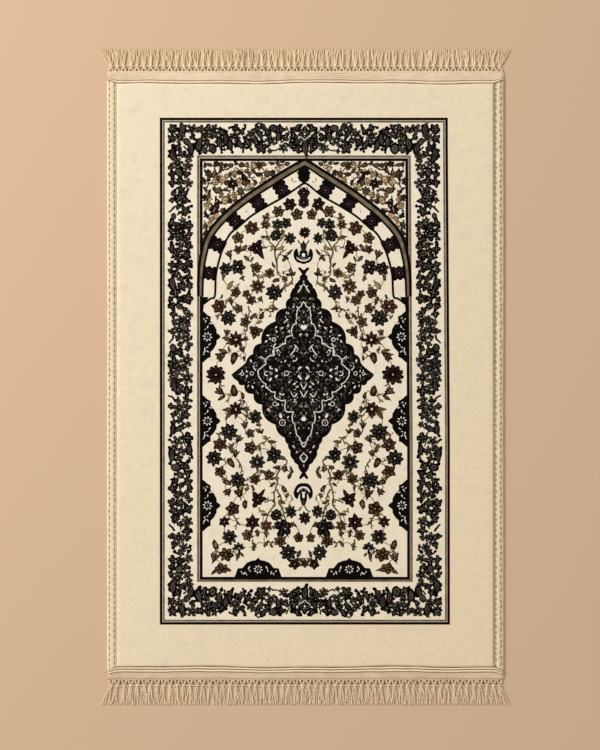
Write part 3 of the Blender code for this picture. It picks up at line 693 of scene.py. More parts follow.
# The dark vine of the border: motif, out, up, turn, size. sideVine runs down the left side, cornerVine goes
# round the top corner, and crossVine along the top to middleVine
sideVine = [
    ("oak", 119.2, 161.6, 60, 5.6), ("knob", 112.8, 166.4, 0, 1.6), ("knob", 125.6, 160, 0, 1.5),
    ("knob", 115.4, 155.4, 0, 1.5), ("eyed6", 124.6, 175.4, 15, 6.2), ("leaf", 132.8, 172.3, 185, 3.6),
    ("leaf", 118.2, 172.0, -12, 3.6), ("leaf", 126.8, 166.0, -95, 3.4), ("leaf", 122.6, 168.0, -70, 3.0),
    ("leaf", 129.8, 178.4, 120, 3.2), ("leaf", 119.6, 179.6, 45, 3.6), ("bud", 131.2, 156, 90, 3.6),
    ("leaf", 131.9, 149.0, 82, 4.8), ("leaf", 127.6, 147.6, -62, 4.6), ("knob", 135.3, 145.8, 0, 1.7),
    ("rosette5", 123, 151.4, 0, 4.0), ("rosette6", 115.6, 146.8, 0, 5.4), ("knob", 121.8, 144.2, 0, 1.9),
    ("eyed6", 126.6, 136.8, 0, 6.0), ("leaf", 134.0, 140.0, 185, 4.0), ("leaf", 133.6, 134.4, 205, 3.2),
    ("knob", 120.4, 140.4, 0, 1.5), ("oak", 118.8, 134.6, 15, 4.6), ("leaf", 113.4, 136.4, 18, 3.8),
    ("knob", 133, 130, 0, 1.9), ("leaf", 132.5, 123.2, -92, 4.8), ("knob", 132.7, 115.2, 0, 1.5),
    ("knob", 128.1, 118, 0, 1.6), ("knob", 128.1, 128.4, 0, 1.4), ("rosette5", 122.3, 125.4, 20, 4.0),
    ("leaf", 126, 122.0, 15, 4.2), ("leaf", 114.4, 125.6, -100, 5.0), ("star5", 117.4, 117.2, 40, 5.8),
    ("leaf", 116.2, 109.4, -62, 5.0), ("knob", 112.8, 107, 0, 1.4), ("leaf", 126.2, 112.4, 15, 4.2),
    ("star5", 125.4, 106, 20, 5.8), ("leaf", 130.2, 106.2, 170, 4.2), ("fan", 127.4, 101.2, -90, 4.6),
    ("leaf", 133.8, 102.4, 172, 3.6), ("leaf", 119.4, 103.2, -32, 4.0), ("leaf", 134, 88.6, 95, 7.4),
    ("star5", 124.3, 93.4, 10, 4.2), ("leaf", 117.0, 98.2, 78, 4.6), ("oak", 119.6, 86, 5, 5.4),
    ("leaf", 113.3, 86.4, -85, 5.6), ("oak", 129.1, 78.4, 100, 6.2), ("leaf", 134.2, 75.2, 220, 3.6),
    ("star6", 116.4, 73.8, 5, 6.2), ("leaf", 124.8, 73.0, 60, 3.8), ("knob", 122.4, 75.8, 0, 1.4),
    ("knob", 134, 71, 0, 1.5), ("leaf", 132.2, 66.4, -62, 4.8), ("leaf", 131.2, 59.2, -96, 4.8),
    ("bud", 124.4, 64.8, -30, 4.4), ("star5", 118.2, 59.6, 60, 5.2), ("leaf", 121.4, 62.6, 20, 3.6),
    ("oak", 122.2, 51, 75, 5.6), ("knob", 116.6, 52.8, 0, 1.8), ("leaf", 118.2, 48.8, -35, 3.6),
    ("bud", 130.5, 50.2, 92, 3.4), ("star6", 125, 42.4, 0, 6.2), ("leaf", 133.2, 41.4, 182, 3.6),
    ("leaf", 118.4, 41.4, 0, 3.6), ("leaf", 126.8, 35, -92, 3.6), ("star5", 118.4, 32, 25, 6.0),
    ("knob", 112.9, 36, 0, 1.6), ("leaf", 123.4, 29, 190, 3.4), ("leaf", 114.6, 28.8, -10, 3.2),
    ("leaf", 116.8, 25, -70, 3.4), ("bud", 131, 23.3, 92, 4.2), ("leaf", 131.7, 17.4, -78, 4.4),
    ("leaf", 125.8, 18.0, -58, 5.4), ("star5", 116.4, 14.2, 42, 7.2), ("knob", 135.3, 11, 0, 1.9),
    ("leaf", 131.0, 11, -80, 4.2), ("leaf", 133.2, 6.8, 145, 3.8), ("rosette7", 126.6, 4.0, 0, 6.0),
    ("star4", 119.2, 4.0, 0, 3.2), ("leaf", 133.0, 0.2, 208, 4.0), ("bud", 128.6, -3.2, -92, 3.4),
    ("star6", 117, -6.3, 0, 6.9), ("leaf", 124.2, -7.6, 28, 4.2), ("tulip", 132.2, -6.8, 105, 4.2),
    ("leaf", 130.0, -13.8, -86, 6.6), ("bud", 124.2, -14.6, 25, 3.6), ("star5", 119, -21.8, 90, 5.8),
    ("oak", 118.6, -24.6, -85, 5.0), ("knob", 113.6, -14.8, 0, 1.6), ("knob", 112.8, -28.5, 0, 1.6),
    ("leaf", 125.0, -19.6, 165, 3.4), ("star6", 125.6, -35.2, 12, 6.4), ("leaf", 126.4, -27.8, 88, 3.4),
    ("leaf", 134.0, -33.9, 182, 3.8), ("leaf", 117.8, -34.4, 6, 4.0), ("leaf", 130.6, -41.6, -108, 3.8),
    ("star5", 120, -42.6, 10, 5.2), ("oak", 124.2, -46.8, -90, 4.0), ("star4", 130.7, -49.2, 0, 3.0),
    ("leaf", 131.7, -57.3, -95, 6.2), ("leaf", 124.8, -56.0, 32, 5.8), ("star4", 116.6, -52.2, 15, 3.8),
    ("eyed6", 117.0, -65.4, 0, 6.0), ("star5", 128.1, -69.8, 30, 5.8), ("knob", 135.5, -67.2, 0, 1.7),
    ("leaf", 134.6, -81, -90, 7.4), ("leaf", 130.7, -78.4, -25, 4.0), ("star5", 122, -79, 70, 5.2),
    ("leaf", 115.4, -78.2, -76, 6.6), ("leaf", 124.8, -85.8, 18, 4.6), ("knob", 116.6, -89, 0, 2.2),
    ("knob", 122.8, -89.4, 0, 1.4), ("bud", 128.1, -94.8, 182, 5.6), ("leaf", 119.0, -95, -118, 5.2),
    ("leaf", 116.2, -99.6, -88, 5.2), ("knob", 113, -99.4, 0, 1.4), ("bud", 124.4, -102.4, -52, 4.4),
    ("knob", 129.7, -101.8, 0, 1.9), ("star5", 117, -107.3, 20, 5.2), ("knob", 133.2, -106.9, 0, 1.5),
    ("leaf", 129.1, -109.4, -72, 4.2), ("leaf", 133, -115.4, -90, 5.2), ("star5", 124.3, -113, 90, 4.0),
    ("leaf", 114.8, -116, -88, 5.6), ("star5", 124.6, -122, 55, 4.8), ("oak", 118.4, -123.6, 0, 4.6),
    ("leaf", 113.0, -125.0, 12, 3.8), ("leaf", 132.4, -130.4, 160, 4.8),
    ("rosette6", 126.6, -130.8, 0, 5.4), ("leaf", 131.2, -138.6, -82, 4.8),
    ("rosette5", 116.4, -136.6, 20, 5.9), ("leaf", 123.8, -139.6, 62, 4.4),
    ("tulip", 129.1, -145, 90, 5.2), ("oak", 118.4, -150.2, 80, 5.8), ("star5", 117.4, -157.6, 10, 4.9),
    ("knob", 112, -158.9, 0, 1.5), ("leaf", 123.6, -151.4, 185, 3.4), ("eyed6", 126.6, -165, 0, 6.2),
    ("leaf", 134.2, -164, 180, 3.6), ("leaf", 119.0, -165, 0, 3.8), ("leaf", 130.6, -172.6, -105, 4.2),
    ("oak", 121, -174.6, 80, 5.2), ("knob", 114.5, -173.4, 0, 1.6), ("knob", 116.2, -179, 0, 1.8),
]
cornerVine = [
    ("star4", 133.5, 244, 45, 5.4), ("knob", 126.3, 242.9, 0, 1.5), ("leaf", 121, 240.8, 88, 7.8),
    ("oak", 125.2, 233.4, 90, 5.4), ("tulip", 131.8, 233.4, 150, 4.8), ("knob", 136.4, 230.6, 0, 1.5),
    ("bud", 121.6, 231.6, -60, 4.2), ("leaf", 126.4, 222.6, 68, 4.4), ("knob", 130.6, 225.6, 0, 1.5),
    ("leaf", 134, 218.2, 96, 8.2), ("star5", 121.6, 218.2, 30, 4.8), ("rosette5", 115.9, 214.8, 0, 5.0),
    ("leaf", 113.2, 225.8, 104, 7.2), ("oak", 129, 208, 40, 5.8), ("leaf", 134.0, 205.8, 218, 3.6),
    ("tulip", 116.6, 206.8, -80, 5.6), ("knob", 122.8, 203.6, 0, 1.8), ("bud", 124.8, 198, 108, 4.8),
    ("leaf", 119.0, 198.0, 20, 4.2), ("knob", 133.2, 201.2, 0, 1.5), ("leaf", 132.2, 197.6, -72, 4.4),
    ("leaf", 131.2, 190.2, -92, 4.8), ("leaf", 124.8, 191.4, -18, 5.4), ("star5", 116.6, 189.2, 0, 4.9),
    ("tulip", 124, 184.2, 90, 4.6), ("knob", 130.2, 182, 0, 1.6), ("knob", 116.6, 183, 0, 1.7),
]
crossVine = [
    ("oak", 111.0, 244.0, -30, 6.0), ("rosette5", 104.4, 240.9, 0, 4.8), ("oak", 99.6, 238.6, -60, 4.8),
    ("leaf", 97.4, 244.6, 80, 4.6), ("leaf", 107.4, 227.4, 78, 8.2), ("leaf", 112.0, 235.2, 60, 3.6),
    ("bud", 94.0, 226.4, -82, 5.8), ("bud", 99.8, 221.9, 110, 3.6), ("leaf", 96.8, 231.0, -40, 4.4),
    ("star5", 89.9, 238.2, 20, 5.4), ("leaf", 91.6, 245.0, 150, 3.6), ("knob", 84.5, 243.4, 0, 1.7),
    ("leaf", 84.0, 240.0, -40, 4.2), ("leaf", 86, 229, -82, 7.2), ("knob", 82.9, 219.8, 0, 1.4),
    ("knob", 78.8, 240.4, 0, 1.9), ("leaf", 79.2, 232.6, -95, 7.2), ("knob", 80.0, 222.6, 0, 1.5),
    ("eyed6", 69.2, 236.8, 0, 6.2), ("leaf", 69, 243.2, 92, 4.2), ("knob", 75.1, 244.2, 0, 1.5),
    ("leaf", 75.4, 227.0, -75, 6.6), ("knob", 68.8, 226.2, 0, 2.0), ("leaf", 62.9, 240.6, 55, 4.2),
    ("knob", 59.8, 246.6, 0, 1.8), ("leaf", 62.9, 227.4, -52, 5.8), ("knob", 61.7, 220.4, 0, 1.4),
    ("oak", 57.7, 229.4, -60, 5.4), ("knob", 53.5, 222.5, 0, 1.8), ("knob", 59.1, 234.8, 0, 1.3),
    ("rosette6", 52.7, 237.6, 0, 5.2), ("oak", 47.4, 243.0, 20, 4.4), ("leaf", 44.8, 237.8, -58, 5.6),
    ("star5", 43.7, 224.4, -50, 6.6), ("leaf", 49.8, 232.4, -25, 4.0), ("leaf", 40.4, 245.2, -55, 5.6),
    ("oak", 33.8, 232.6, -60, 6.2), ("leaf", 37.2, 239.6, 105, 4.4), ("knob", 40.8, 230, 0, 1.5),
    ("rosette5", 35.1, 220.4, 0, 2.8), ("bud", 31.4, 244.8, 182, 4.8), ("knob", 29.6, 240.0, 0, 1.4),
    ("knob", 24.4, 247.6, 0, 1.7), ("leaf", 23.4, 243.6, 0, 4.4), ("leaf", 25.8, 234.8, -95, 6.0),
    ("leaf", 18.4, 235.4, 55, 4.8), ("oak", 20.8, 224.4, 0, 5.0), ("knob", 16.3, 227.9, 0, 1.4),
    ("knob", 12.5, 243.2, 0, 2.0), ("leaf", 10.6, 236.4, 100, 5.2), ("leaf", 12.6, 227.0, -80, 4.6),
    ("leaf", 6.8, 243.6, 62, 4.8), ("knob", 5.4, 247.8, 0, 1.7), ("leaf", 8.0, 225.0, -55, 4.6),
    ("leaf", 7.6, 231.4, 195, 4.2),
]
middleVine = [
    ("ball", 0, 240.2, 0, 5.6), ("leaf", 0, 232, -90, 5.6), ("leaf", 0, 224.4, -90, 7.4),
    ("star4", 0, 235.4, 0, 6.8),
]
vineStems = [
    (0.9, [(130.4, 166.6), (132.2, 163.4), (136.0, 160.3)]),
    (0.75, [(133.5, 244), (129, 238), (126, 234)]), (0.7, [(126.3, 242.9), (126, 238), (123, 234)]),
    (0.7, [(121, 226), (117, 221.6), (113.4, 218.6)]), (0.9, [(130.6, 38), (132.4, 33.6), (136.2, 29.4)]),
    (0.9, [(129.4, -29.6), (132, -25.4), (136.4, -22.6)]),
    (0.9, [(129.8, -159.2), (131.8, -155.6), (135.8, -151.6)]), (0.7, [(125, 181), (125, 178)]),
    (0.7, [(128, 158), (124.6, 159.6)]), (0.65, [(131, 144), (128.4, 141), (127, 138)]),
    (0.7, [(114.2, 131.4), (113.8, 126), (116.6, 121)]), (0.65, [(127, 129), (124, 127)]),
    (0.65, [(118, 112), (121, 108), (123.6, 106)]), (0.65, [(121, 95), (116.4, 92.2), (114, 88)]),
    (0.65, [(124, 90), (121, 87)]), (0.65, [(126.4, 70.6), (127.6, 66), (124.6, 64)]),
    (0.65, [(121.4, 56), (124.4, 54), (126.6, 57)]), (0.65, [(128, 27), (123.6, 29.2)]),
    (0.6, [(121.4, 20.6), (123.6, 16.6)]), (0.6, [(124.4, 10), (127.6, 8)]),
    (0.7, [(113.8, -16), (114.6, -20.4)]), (0.65, [(126, -40.6), (124, -44)]),
    (0.7, [(122, -59.4), (121.8, -66), (119.4, -74)]),
    (0.65, [(126.4, -91.4), (128.6, -90), (130.4, -84)]), (0.7, [(115.6, -83.6), (114.6, -88)]),
    (0.65, [(121.6, -104.4), (119, -106.6)]), (0.7, [(117, -112), (114.4, -113), (113.6, -121)]),
    (0.65, [(128.8, -136), (126.6, -133)]), (0.65, [(121.4, -142.6), (120.8, -147)]),
    (0.65, [(124.2, -157), (124.8, -153.6)]), (0.65, [(124.2, -169), (126.4, -172.6)]),
    (0.65, [(106, 233), (103.4, 229.4), (101, 224.4)]), (0.65, [(84.8, 236.6), (80.6, 238)]),
    (0.7, [(61.2, 236), (60.4, 230), (62, 228)]), (0.7, [(73.4, 231), (70, 228), (64, 231.6)]),
    (0.65, [(40, 228.6), (36.6, 224.6), (35.2, 221)]), (0.65, [(18, 246.2), (17, 241.4), (12.6, 237.8)]),
    (0.65, [(33, 222.4), (28.6, 221.4), (24.6, 224)]), (0.65, [(24, 229), (22.6, 233)]),
    (0.65, [(14, 238.6), (12.6, 234), (14.6, 229)]), (0.65, [(50.4, 246.6), (46.4, 249.0), (43.4, 246.6)]),
]


def closedLoop(corners, bows, rows=5):
    # a closed outline on both sides of a middle line: the left half's corners, then their mirror image back
    half = bowed(corners, bows, rows)
    return np.concatenate([half * [-1.0, 1.0], half[::-1][1:-1]])


# Plain lines of the frame
def layFrame(dye, layer, halfAcross, top, bottom, thickness):
    # a closed ring with mitred corners, its section rim, edge, edge, rim from the inside out
    edge = chart["edge"]
    along = np.linspace(0, 1, 41)[:-1]
    rings = []
    for inset in (thickness, thickness - edge, edge, 0):
        a, high, low = halfAcross - inset, top - inset, bottom + inset
        corners = np.array([(-a, low), (-a, high), (a, high), (a, low), (-a, low)])
        sides = [corners[side] + along[:, None] * (corners[side + 1] - corners[side]) for side in range(4)]
        rings.append(np.concatenate(sides))
    flat = np.stack(rings, axis=1)
    sunk = np.zeros(flat.shape[:2], bool)
    sunk[:, [0, 3]] = True
    keepShapes(dye, layer, flat, sunk, [gridFaces(len(flat), 4, closeRows=True)])


layFrame("black", 1, 145.0, 254.4, -253.5, 2.8)
layFrame("taupe", 1, 142.0, 251.4, -250.5, 2.1)
layFrame("taupe", 1, 107.8, 216.7, -210.2, 2.5)
layFrame("black", 2, 105.1, 213.8, -207.8, 3.0)


def mirroredPath(points, rows):
    # a smooth line up one side and down the other
    half = curve(points, rows) * [-1.0, 1.0]
    return np.concatenate([half[::-1], half[1:] * [-1.0, 1.0]])


# The arch: a taupe line between two black ones, then the inner line
archLine = [
    (0, 209.2), (14, 201.4), (29, 192.4), (54.5, 176.0), (78.2, 156.8), (95, 136.2), (101.2, 116),
    (103.7, 96.5), (104.2, 76),
]
archHalf = np.interp(np.linspace(0, 1, 60), [0, 0.62, 0.8, 1], [1.9, 1.8, 1.45, 1.0])
archWidths = np.concatenate([archHalf[::-1], archHalf[1:]])
archPath = mirroredPath(archLine, 60)
ahead = np.gradient(archPath, axis=0)
outward = np.stack([-ahead[:, 1], ahead[:, 0]], -1) / np.linalg.norm(ahead, axis=-1, keepdims=True)
layRibbons("taupe", 3, archPath, archWidths)
layRibbons("black", 2, archPath + outward * (archWidths + 1.0)[:, None], archWidths * 0.35 + 1.3)
layRibbons("black", 2, archPath - outward * (archWidths + 0.6)[:, None], 1.45)
innerLine = [
    (0, 189.2), (3.5, 187.6), (19.8, 176.4), (36.6, 166.9), (52.8, 157), (64.8, 147), (74.9, 138.2),
    (81.6, 124.9), (86.2, 110.1), (88.9, 96.7), (89.9, 76.6), (94, 74.0), (98.6, 70.6), (101.4, 68.4),
]
layRibbons("black", 2, mirroredPath(innerLine, 70), 1.15)

# Dark blocks between the arch's two lines, scalloped where they meet the pale cells: out, up, turn, size
blocks = [
    (22.9, 182.4, 31, 1.0), (46.3, 169.0, 34, 1.0), (69.5, 151.4, 43, 1.0), (87.0, 127.6, 64, 1.0),
    (95.4, 99.4, 83, 0.96),
]
blockSide = bowed([(-5.4, 8.4), (-5.8, 3.2), (-5.6, -2.2), (-5.6, -7.6)], 0.36, 6)
blockShape = np.concatenate([blockSide, -blockSide[::-1] * [1, -1]])
blockPlaces = np.array(blocks) * [-1, 1, 1, 1]
blockBits = put(petal(-1.0, 1.0, 0.5, 1.0, 0.7, 8), [
    (-5.0, 4.2, 60, 1.2), (4.8, 4.4, 120, 1.2), (-5.0, -3.8, -60, 1.2), (4.6, -4.0, 40, 1.2),
])
for flip in (1, -1):
    layDiscs("black", 1, put(blockShape, blockPlaces) * [flip, 1], rings=(0.5,))
    for tone, layer, shapes in motifs["rosette8"]:
        if tone:
            dye = "plum" if tone == 1 else "ivory"
            layDiscs(dye, layer + 1, put(shapes, blockPlaces * [1, 1, 1, 5.4]) * [flip, 1])
    layDiscs("plum", 2, put(blockBits, blockPlaces) * [flip, 1])
archAcross = -1.0   # the arch's own middle line
apexBlock = closedLoop([
    (0, 208), (4.4, 203.6), (7.6, 199.4), (6.0, 197.2), (6.4, 194.0), (4.6, 191.0), (1.8, 189.6), (0, 188.0),
], 0.12, 4)
layDiscs("black", 1, apexBlock + [-0.8, 0])
cellMarks = [
    ("leaf", "pale", 12.6, 192.4, 110, 2.2), ("leaf", "pale", 9.6, 190.8, 60, 1.6),
    ("drop", "pale", 58.6, 161.2, 100, 1.4),
]
placeMotifs(cellMarks, leftRight)

# Two flowers under the apex, plum above and burgundy below, and an ivory roof over them
for fill, place in (("plum", (archAcross, 179.8, 30, 6.6)), ("burgundy", (archAcross, 170.0, 0, 6.0))):
    for tone, layer, shapes in rosette(6, 0.80, 0.12, 0.05):
        layDiscs(("black", fill, "grey")[tone], layer, put(shapes, [place]))
roof = [(-4.4, 183.2), (-2.6, 185.2), (archAcross, 187.0), (0.6, 185.2), (2.4, 183.2)]
layRibbons("ivory", 3, curve(roof, 9), 0.5)

# The foot of the arch, where the inner line turns out to the frame
foot = np.array([
    (104.8, 76), (96.2, 75.4), (97.4, 72.6), (99.4, 71.2), (101.2, 68.4), (101.6, 60.6), (104.8, 60.6),
])
for flip in (1, -1):
    layDiscs("black", 1, foot * [-flip, 1])


def joinVine(rows, copies, reach=9.5, width=1.05, bend=1.4, dye="black", layer=1, branched=False):
    # a stem to each shape from the one before it, or from the nearest earlier one where branched, bowed
    # either way
    places = np.array([row[2:4] for row in rows], float) * [-1, 1]
    start, stop = places[:-1], places[1:]
    if branched:
        gap = np.linalg.norm(stop[:, None] - places[None], axis=-1)
        gap[np.arange(len(places))[None] > np.arange(len(stop))[:, None]] = 1e6
        start = places[gap.argmin(1)]
    chord = stop - start
    length = np.linalg.norm(chord, axis=1)
    near = (length > 3) & (length < reach)
    start, stop, chord, length = start[near], stop[near], chord[near], length[near]
    side = np.where(np.arange(len(start)) % 2, bend, -bend)[:, None, None]
    normal = np.stack([chord[:, 1], -chord[:, 0]], -1) / length[:, None]
    t = np.linspace(0, 1, 8)[None, :, None]
    paths = start[:, None] + chord[:, None] * t + 4 * t * (1 - t) * side * normal[:, None]
    for flipAcross, flipUp, rise in copies:
        layRibbons(dye, layer, unsettle(paths * [flipAcross, flipUp] + [0, rise]), width)


for rows in (upperField, lowerField):
    joinVine(rows, leftRight, 21, 0.5, 2.4, "vine", 0.5, True)
for rows in (upperField, lowerField):
    placeMotifs(rows, leftRight, 1.15)
placeMotifs(centreFlowers, once, 1.12)


def asBerries(rows):
    # the corner flowers are lumpy, and brown where others are black: buds are ringed berries, leaves curl,
    # and small flowers are clusters and berries in turn
    named = []
    for number, (motif, scheme, out, up, turn, size) in enumerate(rows):
        if motif == "bud":
            motif = "berry"
        elif motif.startswith(("rosette", "star")) and size < 4.4:
            motif, size = ("cluster", "berry")[number % 2], size * 0.88
        elif motif == "leaf":
            motif, size = ("curl", "hook")[number % 2], size * 0.9
        named.append((motif, "brown" if scheme == "black" else scheme, out, up, turn, size))
    return named


# Small lumps between the corner flowers, on a loose net over the arch and under everything else
cornerFill = {
    "pitch": 6.4, "size": (1.4, 2.3), "high": 210.0, "reach": 101.5, "above": 6.5, "loose": 1.5,
    "schemes": ("brown", "peach", "peach", "straw", "pale", "peach", "straw", "pale"),
}


def fillCorners():
    # rows for placeMotifs: a place of the net is kept where it lies well above the arch line, at that
    # distance out
    line = np.array(archLine)
    loose = cornerFill["loose"]
    rows = []
    for across in np.arange(6, 101, cornerFill["pitch"]):
        for high in np.arange(80, cornerFill["high"], cornerFill["pitch"]):
            out, up = across + dice.uniform(-loose, loose), high + dice.uniform(-loose, loose)
            lowest = np.interp(out, line[:, 0], line[:, 1]) + cornerFill["above"]
            if out < cornerFill["reach"] and up > lowest:
                motif = ("berry", "cluster", "curl")[dice.integers(3)]
                scheme = cornerFill["schemes"][dice.integers(len(cornerFill["schemes"]))]
                rows.append((motif, scheme, out, up, dice.uniform(0, 360), dice.uniform(*cornerFill["size"])))
    return rows


placeMotifs(fillCorners(), leftRight, 1.0, depth=0.3)
spandrelStems = [
    (0.9, [(82.8, 202.1), (76.1, 203.3), (71.7, 207.7)]),
    (0.9, [(90.2, 204.7), (88.4, 198.6), (87.2, 193.3)]),
    (1.1, [(101, 202), (97.6, 196.6), (96.6, 190), (97.4, 184.7)]), (1.0, [(96.2, 202.6), (97.4, 196.4)]),
    (1.2, [(66.1, 200), (61.6, 196.4), (55.7, 191)]),
    (0.8, [(94.4, 207), (91, 206.2), (86, 207.6), (82, 205.2)]),
    (0.8, [(100.6, 185), (97, 181.6), (95.4, 178.8), (96.4, 172)]),
    (0.8, [(92, 185), (89.6, 180.6), (84.4, 181.4), (78.6, 181.8)]),
    (1.0, [(94, 169.5), (91.6, 163.6), (86.4, 161.2), (81.8, 162)]),
    (0.8, [(94.6, 169.6), (98.8, 163), (100.4, 155)]), (0.8, [(56, 196), (51.6, 192.6), (49.4, 189)]),
    (0.7, [(44, 205), (40, 201), (34, 199.6)]), (0.7, [(62, 206), (55, 204.4), (51, 201)]),
    (0.7, [(72, 188), (71.4, 182.6), (72.4, 178)]), (0.7, [(30, 204), (24, 207), (18, 208)]),
    (0.8, [(96, 150), (98.4, 144), (100.8, 137)]),
]
cornerBlobs = [
    ("berry", "peach", 82.4, 192.9, 20, 3.8), ("berry", "peach", 89.1, 189.9, 70, 3.4),
    ("berry", "peach", 79.4, 172.1, 80, 3.6), ("berry", "peach", 50.6, 205.9, 10, 3.2),
    ("berry", "peach", 58.3, 184.4, 40, 2.6), ("berry", "peach", 87.2, 156.6, 90, 3.0),
    ("berry", "straw", 70.2, 177.3, 90, 3.2), ("berry", "straw", 68.7, 202.1, 30, 2.6),
    ("berry", "straw", 70.6, 197.3, 80, 2.4), ("berry", "straw", 78.3, 196.2, 0, 2.2),
    ("berry", "straw", 53.1, 186.6, 0, 3.0), ("berry", "straw", 95.0, 172.9, 20, 2.4),
    ("berry", "straw", 98.3, 165.9, 70, 3.0),
]
placeMotifs(asBerries(spandrel), leftRight, 1.14)
placeMotifs(cornerBlobs, leftRight, 1.1)
placeStems(spandrelStems, leftRight, "darkBrown")
placeStems(stems, leftRight, "vine", 1.9)


def leavesAlong(rows, shares, size, away):
    # small leaves to either side of a stem in turn, each leaning 50 degrees out of the stem's own direction
    leaves = []
    for order, (width, points) in enumerate(rows):
        line = curve(points, 21)
        for number, share in enumerate(shares):
            here = int(20 * share)
            ahead = line[here + 1] - line[here]
            side = 1 if (number + order) % 2 else -1
            heading = math.degrees(math.atan2(ahead[1], -ahead[0])) + 50 * side
            out = line[here, 0] - away * math.cos(math.radians(heading))
            up = line[here, 1] + away * math.sin(math.radians(heading))
            scheme = ("olive", "pale")[number % 2]
            leaves.append(("leaf", scheme, out, up, heading, size * dice.uniform(0.8, 1.2)))
    return leaves


placeMotifs(leavesAlong(stems, (0.3, 0.7), 2.1, 2.2), leftRight)

# The band that holds the dark vine, the gap its shapes keep, and their growth after they are packed. A
# round shape reaches 0.92 of its size, and a long leaf 0.62
vineBand = {
    "side": (111.6, 137.2), "cross": (218.2, 248.2), "gap": -1.0, "grown": 1.075, "rounds": 40,
    "round": 0.92, "long": 0.62,
}


def apartness(place):
    # how each shape lies from each other one, and how far
    away = place[:, None] - place[None]
    return away, np.linalg.norm(away, axis=-1) + 1e6 * np.eye(len(place))


def packed(rows, fixed):
    # rows (motif, out, up, turn, size) moved apart step by step until their shapes hardly touch, inside the
    # band, and then shrunk where two still overlap: reach_i <= (distance - gap) reach_i / (reach_i + reach_j)
    place = np.array([row[1:3] for row in rows], float)
    turn = np.array([row[3] for row in rows], float)
    long = np.array([row[0] == "leaf" and row[4] > 5.5 for row in rows])
    reach = np.array([row[4] for row in rows], float) * np.where(long, vineBand["long"], vineBand["round"])
    inner, outer = vineBand["side"]
    low, high = vineBand["cross"]
    for step in range(vineBand["rounds"]):
        away, distance = apartness(place)
        overlap = np.clip(reach[:, None] + reach[None] + vineBand["gap"] - distance, 0, None)
        push = (away / distance[..., None] * overlap[..., None]).sum(1)
        place = place + np.where(fixed[:, None], 0, 0.3 * push)
        place = np.minimum(place, np.stack([outer - reach, high - reach], -1))
        short = np.stack([inner + reach, low + reach], -1) - place
        inward = (short > 0).all(1) & ~fixed
        sideways = inward & (short[:, 0] < short[:, 1])
        place[sideways, 0] += short[sideways, 0]
        place[inward & ~sideways, 1] += short[inward & ~sideways, 1]
    away, distance = apartness(place)
    distance[fixed[:, None] & fixed[None]] = 1e6
    fit = ((distance - vineBand["gap"]) * reach[:, None] / (reach[:, None] + reach[None])).min(1)
    reach = np.where(fixed, reach, np.maximum(np.minimum(reach, fit), 1.0)) * vineBand["grown"]
    named = []
    for number, row in enumerate(rows):
        motif, size = row[0], reach[number] / vineBand["round"]
        if long[number]:
            motif, size = ("curl", "hook")[number % 2], reach[number] / vineBand["long"]
        elif motif == "bud":
            motif = "berry"
        elif motif == "leaf":
            motif = ("ivy3", "ivy4")[number % 2]
        elif motif != "knob":
            motif = ("ivy5", "round6", "ivy4", "round5")[number % 4]
        named.append((motif, "leafy", place[number, 0], place[number, 1], turn[number], size))
    return named


bandHigh = (vineBand["side"][1], vineBand["cross"][1] - borderMiddle)
quarter = cornerVine + crossVine
middles = np.array([False] * len(quarter) + [True] * len(middleVine))
quarterVine = packed(quarter + middleVine, middles)
for rows, copies, low in (
    (packed(sideVine, np.zeros(len(sideVine), bool)), leftRight, (vineBand["side"][0], 0)),
    (quarterVine[:len(quarter)], fourWays, (0, 0)), (quarterVine[len(quarter):], topBottom, (0, 0)),
):
    placeMotifs(rows, copies, 1.0, within=(low, bandHigh))
    joinVine(rows, copies)

# White marks on the palmettes in the middle of the border's top and bottom: a dot and a V
for side, flipUp, rise in topBottom:
    layDiscs("ivory", 4, disc(1.1, 8, 0, 238.0) * [1, flipUp] + [0, rise])
    for flip in (1, -1):
        mark = curve([(0.2, 231.6), (1.6, 233.4), (4.4, 235.6)], 7) * [flip, flipUp] + [0, rise]
        layRibbons("ivory", 4, mark, 0.42)

# The stems near the top and its corners are drawn along the bottom too
placeStems(vineStems, leftRight, "black", 1.45)
placeStems([stem for stem in vineStems if stem[1][0][1] > 215], lowerBoth, "black", 1.45)

# Half medallions on the inner line. At the sides: depth from the line at each height, seen from their
# middle height. Along the bottom: height above the line, from the left end to the middle
sideHalf = [
    (0, 19.4), (2.6, 17.0), (3.4, 15.4), (7.4, 15.0), (12.1, 12.4), (15.5, 9.0), (20.4, 9.2), (21.5, 6.4),
    (25.8, 1.6), (26.6, -1),
]
sideShape = np.array(sideHalf)[:, ::-1]
sideShape = np.concatenate([sideShape[::-1], (sideShape * [1, -1])[1:]])
sideHeights = (35.8, -48.5, -133.0)
sidePlaces = [(-103.2, height, 0, 1) for height in sideHeights]
sideMiddles = np.array([(-101.2, height) for height in sideHeights])
for flip in (1, -1):
    layDiscs("black", 1, put(sideShape, sidePlaces) * [flip, 1], middles=sideMiddles * [flip, 1])
bottomAcross = -46.6
bottomHalf = np.array([
    (-24.4, -1), (-23.4, 1.0), (-20.6, 9.2), (-15.6, 9.6), (-11.6, 15.0), (-6.4, 17.2), (-2.6, 17.8),
    (0, 20.4),
])
bottomShape = np.concatenate([bottomHalf, (bottomHalf * [-1, 1])[::-1][1:]])
bottomPlace = [(bottomAcross, -205.4, 0, 1)]
for flip in (1, -1):
    layDiscs("black", 1, put(bottomShape, bottomPlace) * [flip, 1], middles=[(bottomAcross * flip, -203.6)])

